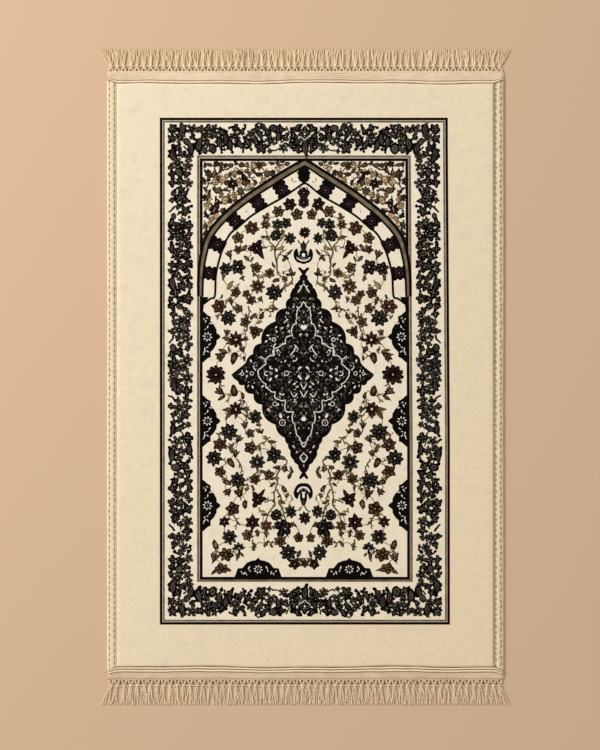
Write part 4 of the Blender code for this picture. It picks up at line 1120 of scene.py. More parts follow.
# White sprigs on the half medallions: across, up, turn and size of each small petal, seen from their middle
sideMarks = [
    (4.6, 7.4, 200, 1.0), (7.0, 10.0, 250, 1.5), (10.2, 13.2, 170, 1.6), (5.0, 15.2, 60, 1.5),
    (3.2, 17.4, 120, 1.1), (6.4, 18.6, 160, 1.2), (9.0, -7.6, 230, 1.4), (6.6, -10.6, 200, 1.2),
    (4.0, -12.4, 100, 1.5), (3.6, -15.4, 60, 1.7), (6.8, -14.6, -50, 1.4), (2.8, -17.8, 20, 1.0),
]
bottomMarks = [
    (-9.2, 8.2, 60, 1.8), (-8.2, 5.2, 130, 1.3), (8.6, 8.4, 120, 1.7), (9.6, 5.2, 100, 1.2),
    (-13.8, 2.6, 35, 1.8), (-16.6, 4.0, -60, 1.3), (-11.6, 1.4, 120, 1.1), (13.0, 3.2, 75, 1.6),
    (15.4, 2.0, 120, 1.3), (17.6, 4.6, 50, 1.2),
]
flowerMarks = spun(petal(0.42, 1.0, 0.17, 1.2, 0.7, 8), evenTurns(8, 80))


def layMarks(marks, across, up, flowerAcross, flowerUp, flowerSize, flip):
    # the petals about one place, then an eight-petal flower with a grey heart
    petals = put(petal(-1.3, 1.3, 0.42, 1.3, 0.8, 10), marks)
    layDiscs("ivory", 2, put(petals, [(across, up, 0, 1)]) * [flip, 1])
    layDiscs("ivory", 2, put(flowerMarks, [(flowerAcross, flowerUp, 0, flowerSize)]) * [flip, 1])
    layDiscs("grey", 3, put(disc(0.7, 8), [(flowerAcross, flowerUp, 0, 1)]) * [flip, 1])


for flip in (1, -1):
    for height in sideHeights:
        turned = np.array(sideMarks)
        turned[:, 2] += dice.normal(0, 9, len(turned))
        layMarks(turned, -104.0, height, -97.2, height, 4.9, flip)
    layMarks(bottomMarks, bottomAcross, -204, bottomAcross, -197.2, 4.6, flip)

# The medallion: cusps from the top finial down the left side, and how far each arc between them bows out
medallionCusps = [
    (0, 98.8), (2.0, 97.6), (3.6, 92.6), (6.0, 89.8), (9.4, 84.5), (12.1, 81.0), (13.7, 74.3),
    (17.5, 64.1), (28.3, 50.8), (42.5, 28.9), (50.7, 18.2), (58.1, 9.5), (72.4, -2.0), (66.0, -8.6),
    (59.6, -12.4), (50.2, -22.1), (41.8, -32.8), (28.3, -52.8), (18.8, -66.1), (15.7, -72.5), (13.3, -79),
    (10.2, -88), (5.8, -92.6), (2.2, -100.4), (0, -101.4),
]
medallionBows = [
    0, -0.2, -0.12, -0.15, -0.15, -0.1, -0.2, -0.26, -0.2, -0.24, -0.14, 0.0, -0.1, -0.3, -0.26, -0.25,
    -0.2, -0.15, -0.15, -0.12, -0.15, -0.15, -0.1, 0,
]
topFinial = [
    (0, 97.0), (2.2, 98.2), (3.4, 100.6), (5.8, 103.2), (5.0, 105.0), (2.8, 104.4), (1.4, 102.8), (0, 102.0),
]
bottomFinial = [
    (0, -99.8), (2.2, -101.0), (3.2, -103.0), (4.8, -105.6), (3.8, -107.2), (2.0, -106.4), (1.0, -105.2),
    (0, -104.6),
]
medallionAcross = -1.05
shift = np.array([medallionAcross, 0])
medallion = closedLoop(medallionCusps, medallionBows, 6) + shift
medallionRings = (0.12, 0.26, 0.4, 0.54, 0.68, 0.82)
layDiscs("black", 1, medallion, rings=medallionRings, middles=[(medallionAcross, -2.0)])
for finial, middle in ((topFinial, 99.6), (bottomFinial, -102.6)):
    layDiscs("black", 1, closedLoop(finial, 0.0, 3) + shift, middles=[(medallionAcross, middle)])

# White contour inside it: corners from the top down the left side, and how far each arc between them bows out
contour = [
    (0, 70.2), (2.4, 65.6), (6.6, 58.8), (6.4, 53.6), (7.6, 50.2), (7.0, 48.4), (10.8, 46.0), (11.0, 36.6),
    (14.6, 35.8), (17.6, 34.2), (18.0, 28.0), (22.2, 27.2), (29.2, 23.6), (29.6, 16.2), (37.6, 12.8),
    (37.6, 8.4), (43.6, 3.2), (45.6, -1.4), (43.6, -6.4), (37.4, -12.2), (37.8, -15.2), (32.2, -19.4),
    (28.8, -19.6), (29.2, -24.0), (24.6, -27.4), (19.0, -27.8), (18.0, -30.4), (18.0, -39.0),
    (15.4, -40.0), (10.0, -39.8), (11.0, -49.6), (8.4, -52.0), (7.8, -58.6), (3.8, -65.8), (0, -71.2),
]
contourBows = [
    -0.1, -0.2, -0.15, -0.2, 0, -0.2, -0.15, -0.1, -0.15, -0.1, -0.15, 0.1, -0.2, -0.2, -0.15, 0, -0.2,
    -0.1, -0.1, -0.2, 0, -0.2, 0.1, -0.2, -0.2, 0, -0.1, -0.1, 0, -0.1, -0.15, -0.1, -0.15, -0.2,
]
contourLine = closedLoop(contour, contourBows, 5) + shift
layRibbons("ivory", 2, np.concatenate([contourLine, contourLine[:2]]), 0.58)


def placeScrolls(dye, layer, pitch, size, width, margin, share=1.0):
    # hooks on a loose net inside the medallion, mirrored left and right: spirals r = size (1 - 0.55 t) that
    # turn 150 to 260 degrees. A hook stands where it is further from the medallion's rim than margin
    cusps = np.array(medallionCusps)[::-1]
    up, out = np.meshgrid(np.arange(-92, 92, pitch), np.arange(pitch * 0.45, 72, pitch), indexing="ij")
    up = up + pitch * 0.5 * (np.arange(out.shape[1]) % 2) + dice.uniform(-0.3, 0.3, up.shape) * pitch
    out = out + dice.uniform(-0.3, 0.3, out.shape) * pitch
    kept = (out + margin < np.interp(up, cusps[:, 1], cusps[:, 0])) & (dice.random(out.shape) < share)
    out, up = out[kept][:, None], up[kept][:, None]
    t = np.linspace(0, 1, 7)
    r = size * dice.uniform(0.75, 1.25, out.shape) * (1 - 0.55 * t)
    first = dice.uniform(0, 6.3, out.shape)
    way = np.where(dice.random(out.shape) < 0.5, 1, -1)
    angle = first + way * dice.uniform(2.6, 4.5, out.shape) * t
    paths = np.stack([out + r * np.cos(angle), up + r * np.sin(angle)], -1)
    for flip in (1, -1):
        layRibbons(dye, layer, paths * [flip, 1] + shift, width * (1 - 0.3 * t))


placeScrolls("smoke", 2, 4.4, 1.6, 0.30, 3.2)
placeScrolls("grey", 3, 6.2, 1.5, 0.30, 4.0, 0.7)
placeScrolls("ivory", 3, 8.6, 1.0, 0.34, 5.0, 0.75)

# Filigree on the medallion, left half. Marks: out (steps from its own middle line), up, turn, half length.
# Rings: out, up, radius. Lines: the points each passes through
whiteMarks = [
    (61.6, 1.6, 92, 1.2), (57.0, 0.9, 100, 1.5), (56.8, -4.0, 75, 1.5), (52.7, 11, 100, 2.0),
    (49.6, 8.8, 0, 1.0), (55.3, -10.1, 30, 0.9), (55.6, -13.9, 70, 1.5), (51.2, -14.9, -62, 2.0),
    (49.4, -11.0, 60, 1.2), (41.2, -14.4, 50, 1.8), (33.4, 4.4, 95, 1.9), (31.8, 3.2, 30, 1.3),
    (27.4, 2.0, -55, 2.2), (27.4, -4.4, 48, 2.2), (33.4, -7.5, 55, 2.5), (21.8, -1.4, 0, 0.9),
    (3.9, 4.2, 35, 2.3), (4.8, 2.8, 80, 1.8), (3.3, -5.8, -45, 2.4), (5.0, -4.2, -80, 1.8),
    (10.1, 16.2, -60, 1.2), (18.5, 10.8, 60, 1.5), (26.2, 21.5, 40, 1.9), (24.4, 17.2, -65, 1.4),
    (26.2, 18.6, 90, 0.9), (6.5, -14.9, 40, 1.7), (8.8, -17.5, 0, 1.1), (14.4, -10.4, 100, 1.5),
    (9.3, -11.9, 45, 1.9), (7.0, -10.1, 60, 1.0), (23.4, -22.0, -45, 1.7), (20.6, -22.6, 45, 1.7),
    (8.9, -28.0, 95, 1.6), (9.9, -30.0, 30, 1.2), (7.6, -30.2, -35, 1.2), (10.1, 65.1, 70, 1.7),
    (0.0, 90.2, 90, 1.5), (17, 59.2, 92, 1.5), (15.4, 58.6, 30, 1.3), (17, 51.9, 55, 1.9),
    (19, 49.8, 75, 1.4), (18, 54.9, 80, 1.1), (16, 46, 0, 1.5), (14.4, 40.7, 80, 1.7),
    (27.7, 44.7, 40, 1.6), (21.4, 44.0, 60, 1.6), (27.2, 40.7, -62, 1.8), (26.2, 35.5, -60, 1.1),
    (35.9, 36.6, -10, 1.9), (33.8, 33, 80, 1.6), (37.6, 30.6, 40, 1.8), (35.6, -37.4, 20, 1.8),
    (34.6, -38.6, -50, 1.6), (25.6, -32.6, 60, 1.8), (23.1, -43.7, -62, 3.0), (15.7, -45.3, 80, 1.5),
    (13.4, -61.3, 20, 1.3), (10.4, -74.3, 60, 1.4), (9.4, -75.4, -50, 1.2), (6.8, -80, -50, 1.5),
    (0.0, 49.8, 90, 1.5), (0.0, -93.7, 90, 1.7), (0.0, -80.8, 90, 1.0), (0.0, -55.5, 90, 0.9),
    (12.6, 17.4, 40, 1.8), (6.0, 23.6, -60, 1.5), (42.2, 14.8, -50, 1.8), (12.2, 36.4, -30, 1.6),
    (0.0, 59.4, 90, 1.1), (3.2, 37.2, 68, 1.9), (6.4, 20.8, 80, 1.0), (20.4, 27.6, 70, 1.4),
]
greyMarks = [
    (66, -1.9, 0, 2.0), (62.4, -6.0, 92, 2.4), (54.2, 4.5, 20, 1.4), (36.9, 22.3, 70, 2.2),
    (37.4, 18.2, 50, 2.2), (40.6, 24.6, 95, 2.4), (9.6, 73.2, 40, 2.6), (8.4, 71.0, 120, 2.2),
    (4.8, 68.7, 30, 2.4), (3.2, 78.4, 10, 1.8), (0.0, -37.6, 90, 2.6), (4.0, -51.4, 75, 2.0),
    (2.6, -53.0, 110, 1.6), (9.9, -69.8, 10, 2.0), (7.2, 41.4, 60, 2.2), (5.6, 54.6, 100, 1.8),
    (3.4, 52.8, 60, 1.6), (31.4, 26.4, 70, 1.9), (28.8, 29.6, 30, 1.6), (23.6, 33.0, 60, 1.8),
    (21.6, 37.6, 110, 1.7), (32.8, 42.8, 20, 1.8), (24.4, 48.6, 80, 1.8), (22.4, 52.4, 50, 2.0),
    (14.2, 30.6, 60, 2.4), (16.6, 24.6, 110, 2.0), (20.6, 14.2, 30, 2.2), (25.6, 12.6, 60, 1.9),
    (14.4, 6.6, 60, 2.4), (12.4, 10.4, 20, 1.8), (15.2, -8.0, 30, 2.2), (17.6, -14.0, 95, 3.0),
    (14.8, -18.6, 50, 2.0), (21.8, -16.6, 60, 2.2), (18.6, -27.8, 20, 1.8), (12.8, -31.6, 60, 2.6),
    (15.8, -33.8, 100, 2.2), (6.6, -37.8, 60, 2.0), (8.8, -43.6, 90, 2.0), (5.2, -43.2, 40, 1.8),
    (25.0, -54.6, 45, 2.2), (22.2, -58.0, 80, 1.8), (11.6, -52.6, 80, 2.4), (13.8, -56.6, 50, 1.6),
    (15.4, -64.4, 60, 2.0), (33.2, -25.4, 70, 2.6), (37.8, -24.6, 95, 2.8), (35.2, -30.2, 60, 1.9),
    (29.8, -29.4, 40, 1.8), (42.6, -9.8, 80, 2.4), (44.6, -13.4, 100, 2.0), (45.6, 9.4, 30, 2.2),
    (40.4, 10.2, 60, 1.9), (47.4, 16.0, 80, 2.4), (2.2, 30.8, 100, 2.4), (1.4, 24.0, 60, 1.8),
    (5.8, 8.0, 70, 1.6), (2.4, -30.6, 80, 1.9), (4.6, -33.4, 30, 1.5), (6.8, -60.4, 80, 1.8),
    (19.8, 62.6, 60, 1.8), (13.4, 53.4, 80, 1.8), (12.2, 48.6, 60, 1.6), (27.4, -35.8, 70, 1.8),
    (31.0, -47.8, 30, 2.2), (27.2, -48.6, 80, 1.8),
]
whiteRings = [
    (61.4, -1.4, 1.5), (51.9, -1.4, 1.8), (17.2, -1.2, 2.3), (29.7, 32.5, 1.9), (21.3, -50.6, 3.0),
    (28.8, -32.0, 2.0),
]
greyRings = [
    (24.1, -9.8, 2.3), (30.8, 39.6, 3.0), (29.4, -42.2, 2.6), (36.6, -41.2, 2.6), (17.8, -56.2, 2.0),
    (38.2, 27.4, 2.0), (9.0, 32.0, 2.2), (4.2, 47.0, 1.6), (33.6, 27.8, 1.8), (34.2, -33.4, 1.7),
    (10.6, -36.6, 2.0), (47.6, 4.4, 1.4),
]
whiteLines = [
    [(0, 88.4), (2.3, 85), (5.8, 79.4)], [(2.4, 84.6), (4.2, 86.4)],
    [(9.8, 27.4), (7.3, 25.4), (5.8, 22.8)], [(7.8, 25.9), (9.4, 21.8), (12.7, 17.4)],
    [(6.3, 14.4), (7.8, 11.6), (10.9, 10.6)], [(50.7, 6.5), (49.4, 3.4), (47.6, 1.4)],
    [(3.2, -11.4), (0, -17.6)], [(3.8, -18.5), (0, -25.2)], [(12.9, -20.5), (9.8, -24.6), (6.3, -21.6)],
    [(7.1, 65.7), (4.8, 62.6)], [(2.8, -71.2), (0, -75.4)], [(0, -81.0), (3.6, -85.6), (0, -90.4)],
    [(37.6, 12.6), (40.4, 13.6), (42.2, 15.2)], [(38.6, 0.2), (39.2, -1.4), (38.4, -3.2), (35.8, -3.6)],
    [(38.6, 0.2), (36.2, 0.6)], [(29.2, 16.6), (29.8, 25.6), (27.6, 28.6)],
]
greyLines = [
    [(47.6, -3.7), (49.0, -7.2), (52.2, -8.8)], [(41.0, 18.0), (43.2, 21.0), (41.8, 26.6)],
    [(42.0, -27.8), (40.2, -23.6), (40.6, -20)], [(24.6, 56.6), (26.4, 52.4), (24.4, 48.0)],
    [(18.0, 22.6), (21.6, 21.4), (22.4, 25.6), (19.0, 27.4)], [(10.8, 3.4), (14.2, 4.0), (15.6, 8.4)],
    [(8.4, -33.6), (11.8, -34.0), (13.6, -38.4)], [(17.4, -60.4), (19.8, -57.4), (18.0, -53.0)],
]
for marks, dye, slim in ((whiteMarks, "ivory", 0.52), (greyMarks, "smoke", 0.3)):
    for flip in (1, -1):
        turned = np.array(marks) * [-1, 1, 1, 1]
        turned[:, 2] += dice.normal(0, 8, len(marks))
        layDiscs(dye, 2, put(petal(-1, 1, slim, 1.3, 0.8, 10), turned) * [flip, 1] + shift)
for rings, dye, width in ((whiteRings, "ivory", 0.42), (greyRings, "smoke", 0.4)):
    for out, up, radius in rings:
        ring = disc(radius, 15)
        ring = np.concatenate([ring, ring[:2]])
        for flip in (1, -1):
            layRibbons(dye, 2, (ring + [-out, up]) * [flip, 1] + shift, width)
for lines, dye, width in ((whiteLines, "ivory", 0.6), (greyLines, "smoke", 0.42)):
    for line in lines:
        path = curve(line, 4 * len(line)) * [-1.0, 1.0]
        for flip in (1, -1):
            layRibbons(dye, 2, path * [flip, 1] + shift, width * np.linspace(0.8, 1.15, len(path)))
topDrop = closedLoop([(0, 46.0), (2.8, 46.8), (3.0, 44.0), (0, 41.4)], [-0.3, -0.2, -0.05], 4)
layDiscs("ivory", 2, topDrop + shift)
layDiscs("ivory", 2, put(lobes(6, 0.3) * 2.7, [(0, -46.8, 0, 1)]) + shift)
layDiscs("grey", 2, put(disc(1.7, 10), [(-32.6, -1.4, 0, 1), (32.6, -1.4, 0, 1)]) + shift)
diamond = np.array([(0, 19.4), (1.5, 16.8), (0, 14.2), (-1.5, 16.8)])
layDiscs("smoke", 2, diamond + shift)


def between(outer, inner, rows=16):
    # the band between two lines: its middle line, and half the gap as its half width
    outer, inner = curve(outer, rows), curve(inner, rows)
    return (outer + inner) / 2, np.maximum(np.linalg.norm(outer - inner, axis=1) / 2, 0.8)


# Pendants above and below the medallion. Lines of the left half: dye, layer, then the path and its half width
pendantShift = [-1.2, 0]
pendantLines = [
    ("black", 1, *between(
        [
            (-7.2, 124.0), (-9.5, 121.4), (-10.1, 117.2), (-8.8, 112.9), (-5.4, 109.6), (-2.2, 109.0),
            (0, 107.6),
        ],
        [(-6.2, 123.8), (-5.0, 120.0), (-4.6, 116.6), (-2.8, 114.4), (0, 113.0)],
    )),
    ("ivory", 2, curve([(-6.9, 115.6), (-5.2, 113.4), (-2.6, 112.2), (0, 111.4)], 10),
     [0.3, 0.6, 0.7, 0.6, 0.7, 0.8, 0.7, 0.8, 0.9, 1.0]),
    ("black", 2, curve([(-3.0, 122.0), (-2.6, 118.4), (-4.6, 115.6)], 8), 1.0),
    ("darkOlive", 1, curve([(-2.4, 128.0), (-4.6, 130.4), (-5.6, 132.6)], 7), 0.7),
    ("black", 1, *between(
        [(-6.4, -126.6), (-9.2, -124.2), (-10.0, -119.4), (-8.0, -114.4), (-4.6, -111.2), (0, -110.4)],
        [(-5.6, -126.4), (-4.8, -123.6), (-3.6, -120.2), (-3.4, -118.0), (-2.6, -116.6), (0, -116.2)],
    )),
    ("ivory", 2, curve([(-6.0, -119.8), (-4.8, -116.8), (-2.6, -115.2), (0, -114.6)], 10), 0.85),
    ("black", 1, curve([(-2.4, -119.0), (-2.8, -123.0), (-2.6, -126.8), (-0.6, -133.0)], 10), 0.9),
]
pendantShapes = [
    ("darkOlive", 1, closedLoop([
        (0, 132.4), (1.6, 129.4), (3.4, 127.2), (2.8, 124.4), (2.0, 121.4), (2.6, 119.0), (0, 117.2),
    ], 0.0, 2)),
    ("charcoal", 2, put(petal(-1, 1, 0.3), [(0, 126, 90, 4.2)])),
    ("black", 1, put(disc(1.0, 12) * [2.6, 1.5], [(0, 109.6, 0, 1), (0, -112.4, 0, 1)])),
    ("black", 2, closedLoop([
        (0, 121.4), (2.4, 122.2), (4.4, 119.6), (4.6, 116.4), (2.6, 114.2), (0, 113.4),
    ], [0.1, 0.15, 0.15, 0.1, 0.05], 4)),
    ("ivory", 3, put(lobes(5, 0.36) * [1.0, 0.9], [(0, 117.4, 90, 2.3)])),
    ("black", 1, closedLoop([
        (0, -115.8), (2.8, -117.0), (4.4, -120.4), (2.8, -123.4), (2.6, -127.4), (0, -128.6),
    ], 0.06, 4)),
    ("ivory", 3, closedLoop([
        (0, -119.4), (1.9, -119.2), (1.0, -121.8), (1.2, -124.4), (0, -126.0),
    ], -0.06, 3)),
    ("darkOlive", 1, closedLoop([(0, -125.4), (2.6, -127.4), (2.2, -131.0), (0, -134.2)], -0.06, 3)),
    ("charcoal", 2, put(petal(-1, 1, 0.3), [(0, -130.2, 90, 3.2)])),
    ("olive", 1, put(petal(-1, 1, 0.42), [(-3.4, -136.2, 235, 3.2)])),
    ("tan", 2, put(petal(-1, 1, 0.35), [(-3.4, -136.2, 235, 1.9)])),
]
for flip in (1, -1):
    for dye, layer, path, width in pendantLines:
        layRibbons(dye, layer, path * [flip, 1] + pendantShift, width)
for dye, layer, outline in pendantShapes:
    layDiscs(dye, layer, outline + pendantShift)
layRibbons("black", 1, curve([(1.0, -133.4), (3.4, -137.6), (7.0, -139.4)], 8) + pendantShift, 0.7)


def hexToLinear(code):
    # the sRGB curve undone: ((c + 0.055) / 1.055)^2.4
    channels = [int(code[i:i + 2], 16) / 255 for i in (1, 3, 5)]
    return tuple(c / 12.92 if c <= 0.04045 else ((c + 0.055) / 1.055) ** 2.4 for c in channels) + (1.0,)


def addNode(tree, kind, settings=None, inputs=None):
    # one node: its settings, then its inputs as fixed values or as sockets to link from
    node = tree.nodes.new(kind)
    for name, value in (settings or {}).items():
        setattr(node, name, value)
    for name, value in (inputs or {}).items():
        if isinstance(value, bpy.types.NodeSocket):
            tree.links.new(value, node.inputs[name])
        else:
            node.inputs[name].default_value = value
    return node


def mathNode(tree, operation, first, second=0.0):
    # one sum of two numbers or sockets
    return addNode(tree, "ShaderNodeMath", {"operation": operation}, {0: first, 1: second}).outputs[0]


def vectorNode(tree, operation, place, second):
    # the same for three coordinates at once
    return addNode(tree, "ShaderNodeVectorMath", {"operation": operation}, {0: place, 1: second}).outputs[0]


def startMaterial(name, roughness, sheen=0.0, specular=0.2):
    # a shader with its fixed values set, and the Object coordinates every pattern reads
    material = bpy.data.materials.new(name)
    material.use_nodes = True
    tree = material.node_tree
    shader = tree.nodes["Principled BSDF"]
    shader.inputs["Roughness"].default_value = roughness
    shader.inputs["Specular IOR Level"].default_value = specular
    shader.inputs["Sheen Weight"].default_value = sheen
    shader.inputs["Sheen Roughness"].default_value = 0.6
    place = addNode(tree, "ShaderNodeTexCoord").outputs["Object"]
    return material, tree, shader, place


def noise(tree, place, size, detail, spread=(1, 1, 1)):
    # even noise with lumps about size metres wide, from 0 to 1
    scaled = vectorNode(tree, "MULTIPLY", place, tuple(s / size for s in spread))
    inputs = {"Vector": scaled, "Scale": 1.0, "Detail": detail, "Roughness": 0.55}
    return addNode(tree, "ShaderNodeTexNoise", {"noise_dimensions": "3D"}, inputs).outputs["Fac"]


def mixColour(tree, share, first, second, blend="MIX"):
    # first + share x (second - first), or another blend of the two
    settings = {"data_type": "RGBA", "blend_type": blend}
    return addNode(tree, "ShaderNodeMix", settings, {0: share, 6: first, 7: second}).outputs[2]


def stretch(tree, value, low, high, newLow=0.0, newHigh=1.0):
    # low to high becomes newLow to newHigh in even steps, and what lies beyond is held there
    inputs = {"Value": value, "From Min": low, "From Max": high, "To Min": newLow, "To Max": newHigh}
    return addNode(tree, "ShaderNodeMapRange", None, inputs).outputs[0]


def addColour(tree, shader, colour, level):
    # the surface's colour is colour times a grey level
    grey = addNode(tree, "ShaderNodeCombineColor", None, {0: level, 1: level, 2: level}).outputs[0]
    tree.links.new(mixColour(tree, 1.0, colour, grey, "MULTIPLY"), shader.inputs["Base Color"])


def addBump(tree, shader, height, strength, distance):
    # fine relief for the light, distance metres deep where height is 1
    inputs = {"Height": height, "Strength": strength, "Distance": distance}
    bump = addNode(tree, "ShaderNodeBump", None, inputs)
    tree.links.new(bump.outputs[0], shader.inputs["Normal"])


def woolMaterial(name, light, dark):
    # dyed cut pile: light and dark run in patches 14 mm wide, and tufts 1.9 mm wide are a little uneven
    material, tree, shader, place = startMaterial(name, 0.95, 0.0, 0.06)
    flat = vectorNode(tree, "MULTIPLY", place, (1, 1, 0))
    patch = stretch(tree, noise(tree, flat, 0.014, 3.0), 0.36, 0.64)
    tuft = noise(tree, flat, 0.0019, 1.0)
    colour = mixColour(tree, patch, hexToLinear(dark), hexToLinear(light))
    addColour(tree, shader, colour, stretch(tree, tuft, 0.3, 0.7, 0.90, 1.10))
    addBump(tree, shader, tuft, 0.35, 0.0006)
    return material


# Two tones for each dye of the pile, from where the wool took it well to where it is rubbed
dyes = {
    "straw": ("#dccb9c", "#cbb786"), "black": ("#110c0a", "#080605"), "charcoal": ("#484136", "#2a261f"),
    "smoke": ("#57534a", "#35332c"), "plum": ("#472c37", "#28171d"), "grey": ("#b5ac9d", "#898174"),
    "ivory": ("#fdf8ee", "#ebe3d5"), "burgundy": ("#43261f", "#2d1814"), "russet": ("#5e4131", "#42291e"),
    "darkBrown": ("#2c1d12", "#1d130c"), "brown": ("#6e5238", "#4a3424"), "darkOlive": ("#30261a", "#201911"),
    "olive": ("#786647", "#574830"), "vine": ("#74633d", "#564828"), "taupe": ("#85765f", "#655845"),
    "tan": ("#b39c74", "#927b54"), "peach": ("#e3c3a2", "#d2ab86"),
}
bakeWidth, bakeLength = 0.76, 1.1   # what the inlays' and fringes' UV maps span, in metres
for dye, (light, dark) in dyes.items():
    inlay = buildMesh("pile." + dye, dyedPile[dye])
    points = np.concatenate([shape.reshape(-1, 3) for shape, faces in dyedPile[dye]])
    setBakeMap(inlay, points[:, 0] / bakeWidth + 0.5, points[:, 1] / bakeLength + 0.5)
    inlay.data.set_sharp_from_angle(angle=math.radians(38))
    inlay.data.materials.append(woolMaterial("wool pile, " + dye, light, dark))
    print(dye, "pile:", len(inlay.data.loops) - 2 * len(inlay.data.polygons), "triangles")

# Cream pile: one closed sheet with a rounded shoulder, its bare margin under the bindings and a woven back
groundLook = {
    "cell": 0.0060, "gap": 0.0003, "shoulder": 0.0036, "marginLow": 0.0011, "marginHigh": 0.0021,
    "marginInset": 0.0025, "mapWidth": 0.74, "mapLength": 1.1, "mapTop": (0.02, 0.60),
    "mapBack": (0.64, 0.31), "mapWalls": (0.965, 0.006),
}


def layGround():
    # top grid between the two tapes. At d from its rim it lies lower by
    # rounding x (1 - sqrt(1 - (1 - d / shoulder)^2))
    inset = groundLook["shoulder"] * np.array([0, 0.05, 0.16, 0.34, 0.62, 1.0])
    drop = rug["pileRounding"] * (1 - np.sqrt(1 - (1 - inset / groundLook["shoulder"]) ** 2))
    flatWidth = pileHalfWidth - groundLook["shoulder"]
    across = int(2 * flatWidth / groundLook["cell"])
    along = int(2 * tapeInnerEdge(0, "top") / groundLook["cell"])
    x = np.concatenate([
        inset - pileHalfWidth, np.linspace(-flatWidth, flatWidth, across)[1:-1],
        (pileHalfWidth - inset)[::-1],
    ])
    low = groundLook["gap"] - tapeInnerEdge(x, "bottom")
    high = tapeInnerEdge(x, "top") - groundLook["gap"]
    t = np.linspace(0, 1, along)[1:-1]
    middle = (low + inset[-1])[:, None] + t * (high - low - 2 * inset[-1])[:, None]
    y = np.concatenate([low[:, None] + inset, middle, high[:, None] - inset[::-1]], axis=1)
    x = np.repeat(x[:, None], y.shape[1], axis=1)
    dropX = np.concatenate([drop, np.zeros(across - 2), drop[::-1]])[:, None]
    dropY = np.concatenate([drop, np.zeros(along - 2), drop[::-1]])[None]
    z = pileHeight(x, y) - np.maximum(dropX, dropY)
    rows, columns = x.shape
    top = np.stack([x, y, z], -1).reshape(-1, 3)
    back = top * [1, 1, 0]
    i = np.concatenate([
        np.arange(rows), np.full(columns - 2, rows - 1), np.arange(rows)[::-1], np.zeros(columns - 2, int),
    ])
    j = np.concatenate([np.zeros(rows, int), np.arange(1, columns - 1), np.full(rows, columns - 1),
                        np.arange(1, columns - 1)[::-1]])
    rim = i * columns + j
    foot = top[rim]
    outX = foot[:, 0] * (halfWidth - groundLook["marginInset"]) / pileHalfWidth
    cut = rug["cornerRound"] * corner(outX) ** 3
    outTop = tapeOuterEdge("top") - cut - groundLook["marginInset"]
    outBottom = tapeOuterEdge("bottom") - cut - groundLook["marginInset"]
    outY = np.where(foot[:, 1] > 0, foot[:, 1] * outTop / tapeInnerEdge(foot[:, 0], "top"),
                    foot[:, 1] * outBottom / tapeInnerEdge(foot[:, 0], "bottom"))
    marginHigh, marginLow = groundLook["marginHigh"], groundLook["marginLow"]
    loops = [
        (foot[:, 0], foot[:, 1], marginHigh), (outX, outY, marginHigh), (outX, outY, marginLow),
        (foot[:, 0], foot[:, 1], marginLow),
    ]
    rings = [np.stack([a, b, np.full(len(rim), c)], -1) for a, b, c in loops]
    points = np.concatenate([top, back] + rings)
    first = 2 * len(top)
    chain = [rim] + [first + k * len(rim) + np.arange(len(rim)) for k in range(4)] + [rim + len(top)]
    walls = [np.stack([a, b, np.roll(b, -1), np.roll(a, -1)], -1) for a, b in zip(chain, chain[1:])]
    faces = gridFaces(rows, columns)
    return points, [faces, np.concatenate(walls), faces[:, ::-1] + len(top)]


def creamMaterial():
    # undyed wool: whiter inside the black frame, warmer outside, with faint pink and green patches 24 and
    # 30 mm wide, and painted light: lighter towards the upper left and darker towards the lower right
    material, tree, shader, place = startMaterial("wool pile, undyed cream", 0.92, 0.10)
    part = addNode(tree, "ShaderNodeSeparateXYZ", None, {0: place})
    x, y = part.outputs["X"], part.outputs["Y"]
    flat = vectorNode(tree, "MULTIPLY", place, (1, 1, 0))
    step = chart["step"]
    frameMiddle = chart["along"] + 0.45 * step
    besideFrame = mathNode(tree, "ABSOLUTE", mathNode(tree, "SUBTRACT", x, chart["across"]))
    beyondFrame = mathNode(tree, "ABSOLUTE", mathNode(tree, "SUBTRACT", y, frameMiddle))
    inSides = stretch(tree, besideFrame, 144.5 * step, 143.0 * step)
    inEnds = stretch(tree, beyondFrame, 253.4 * step, 252.0 * step)
    inside = mathNode(tree, "MULTIPLY", inSides, inEnds)
    # painted light falloff: from darker at the lower right to lighter at the upper left, where the key light
    # stands
    paintedLightFade = stretch(tree, mathNode(tree, "SUBTRACT", y, x), -0.85, 0.85)
    outer = mixColour(tree, paintedLightFade, hexToLinear("#f3dfbb"), hexToLinear("#f5e8cb"))
    inner = mixColour(tree, paintedLightFade, hexToLinear("#f5e8cc"), hexToLinear("#f9f0de"))
    colour = mixColour(tree, inside, outer, inner)
    pink = stretch(tree, noise(tree, flat, 0.024, 2.0), 0.52, 0.72, 0.0, 0.6)
    colour = mixColour(tree, pink, colour, hexToLinear("#ecd8c6"))
    apart = vectorNode(tree, "ADD", flat, (3.1, 1.7, 0.4))
    green = stretch(tree, noise(tree, apart, 0.03, 2.0), 0.55, 0.75, 0.0, 0.4)
    colour = mixColour(tree, green, colour, hexToLinear("#ebe0bd"))
    tuft = noise(tree, flat, 0.0021, 1.5)
    patch = stretch(tree, noise(tree, flat, 0.009, 3.0), 0.34, 0.66, 0.965, 1.03)
    level = mathNode(tree, "MULTIPLY", stretch(tree, tuft, 0.3, 0.7, 0.94, 1.04), patch)
    addColour(tree, shader, colour, level)
    addBump(tree, shader, tuft, 0.4, 0.0008)
    return material


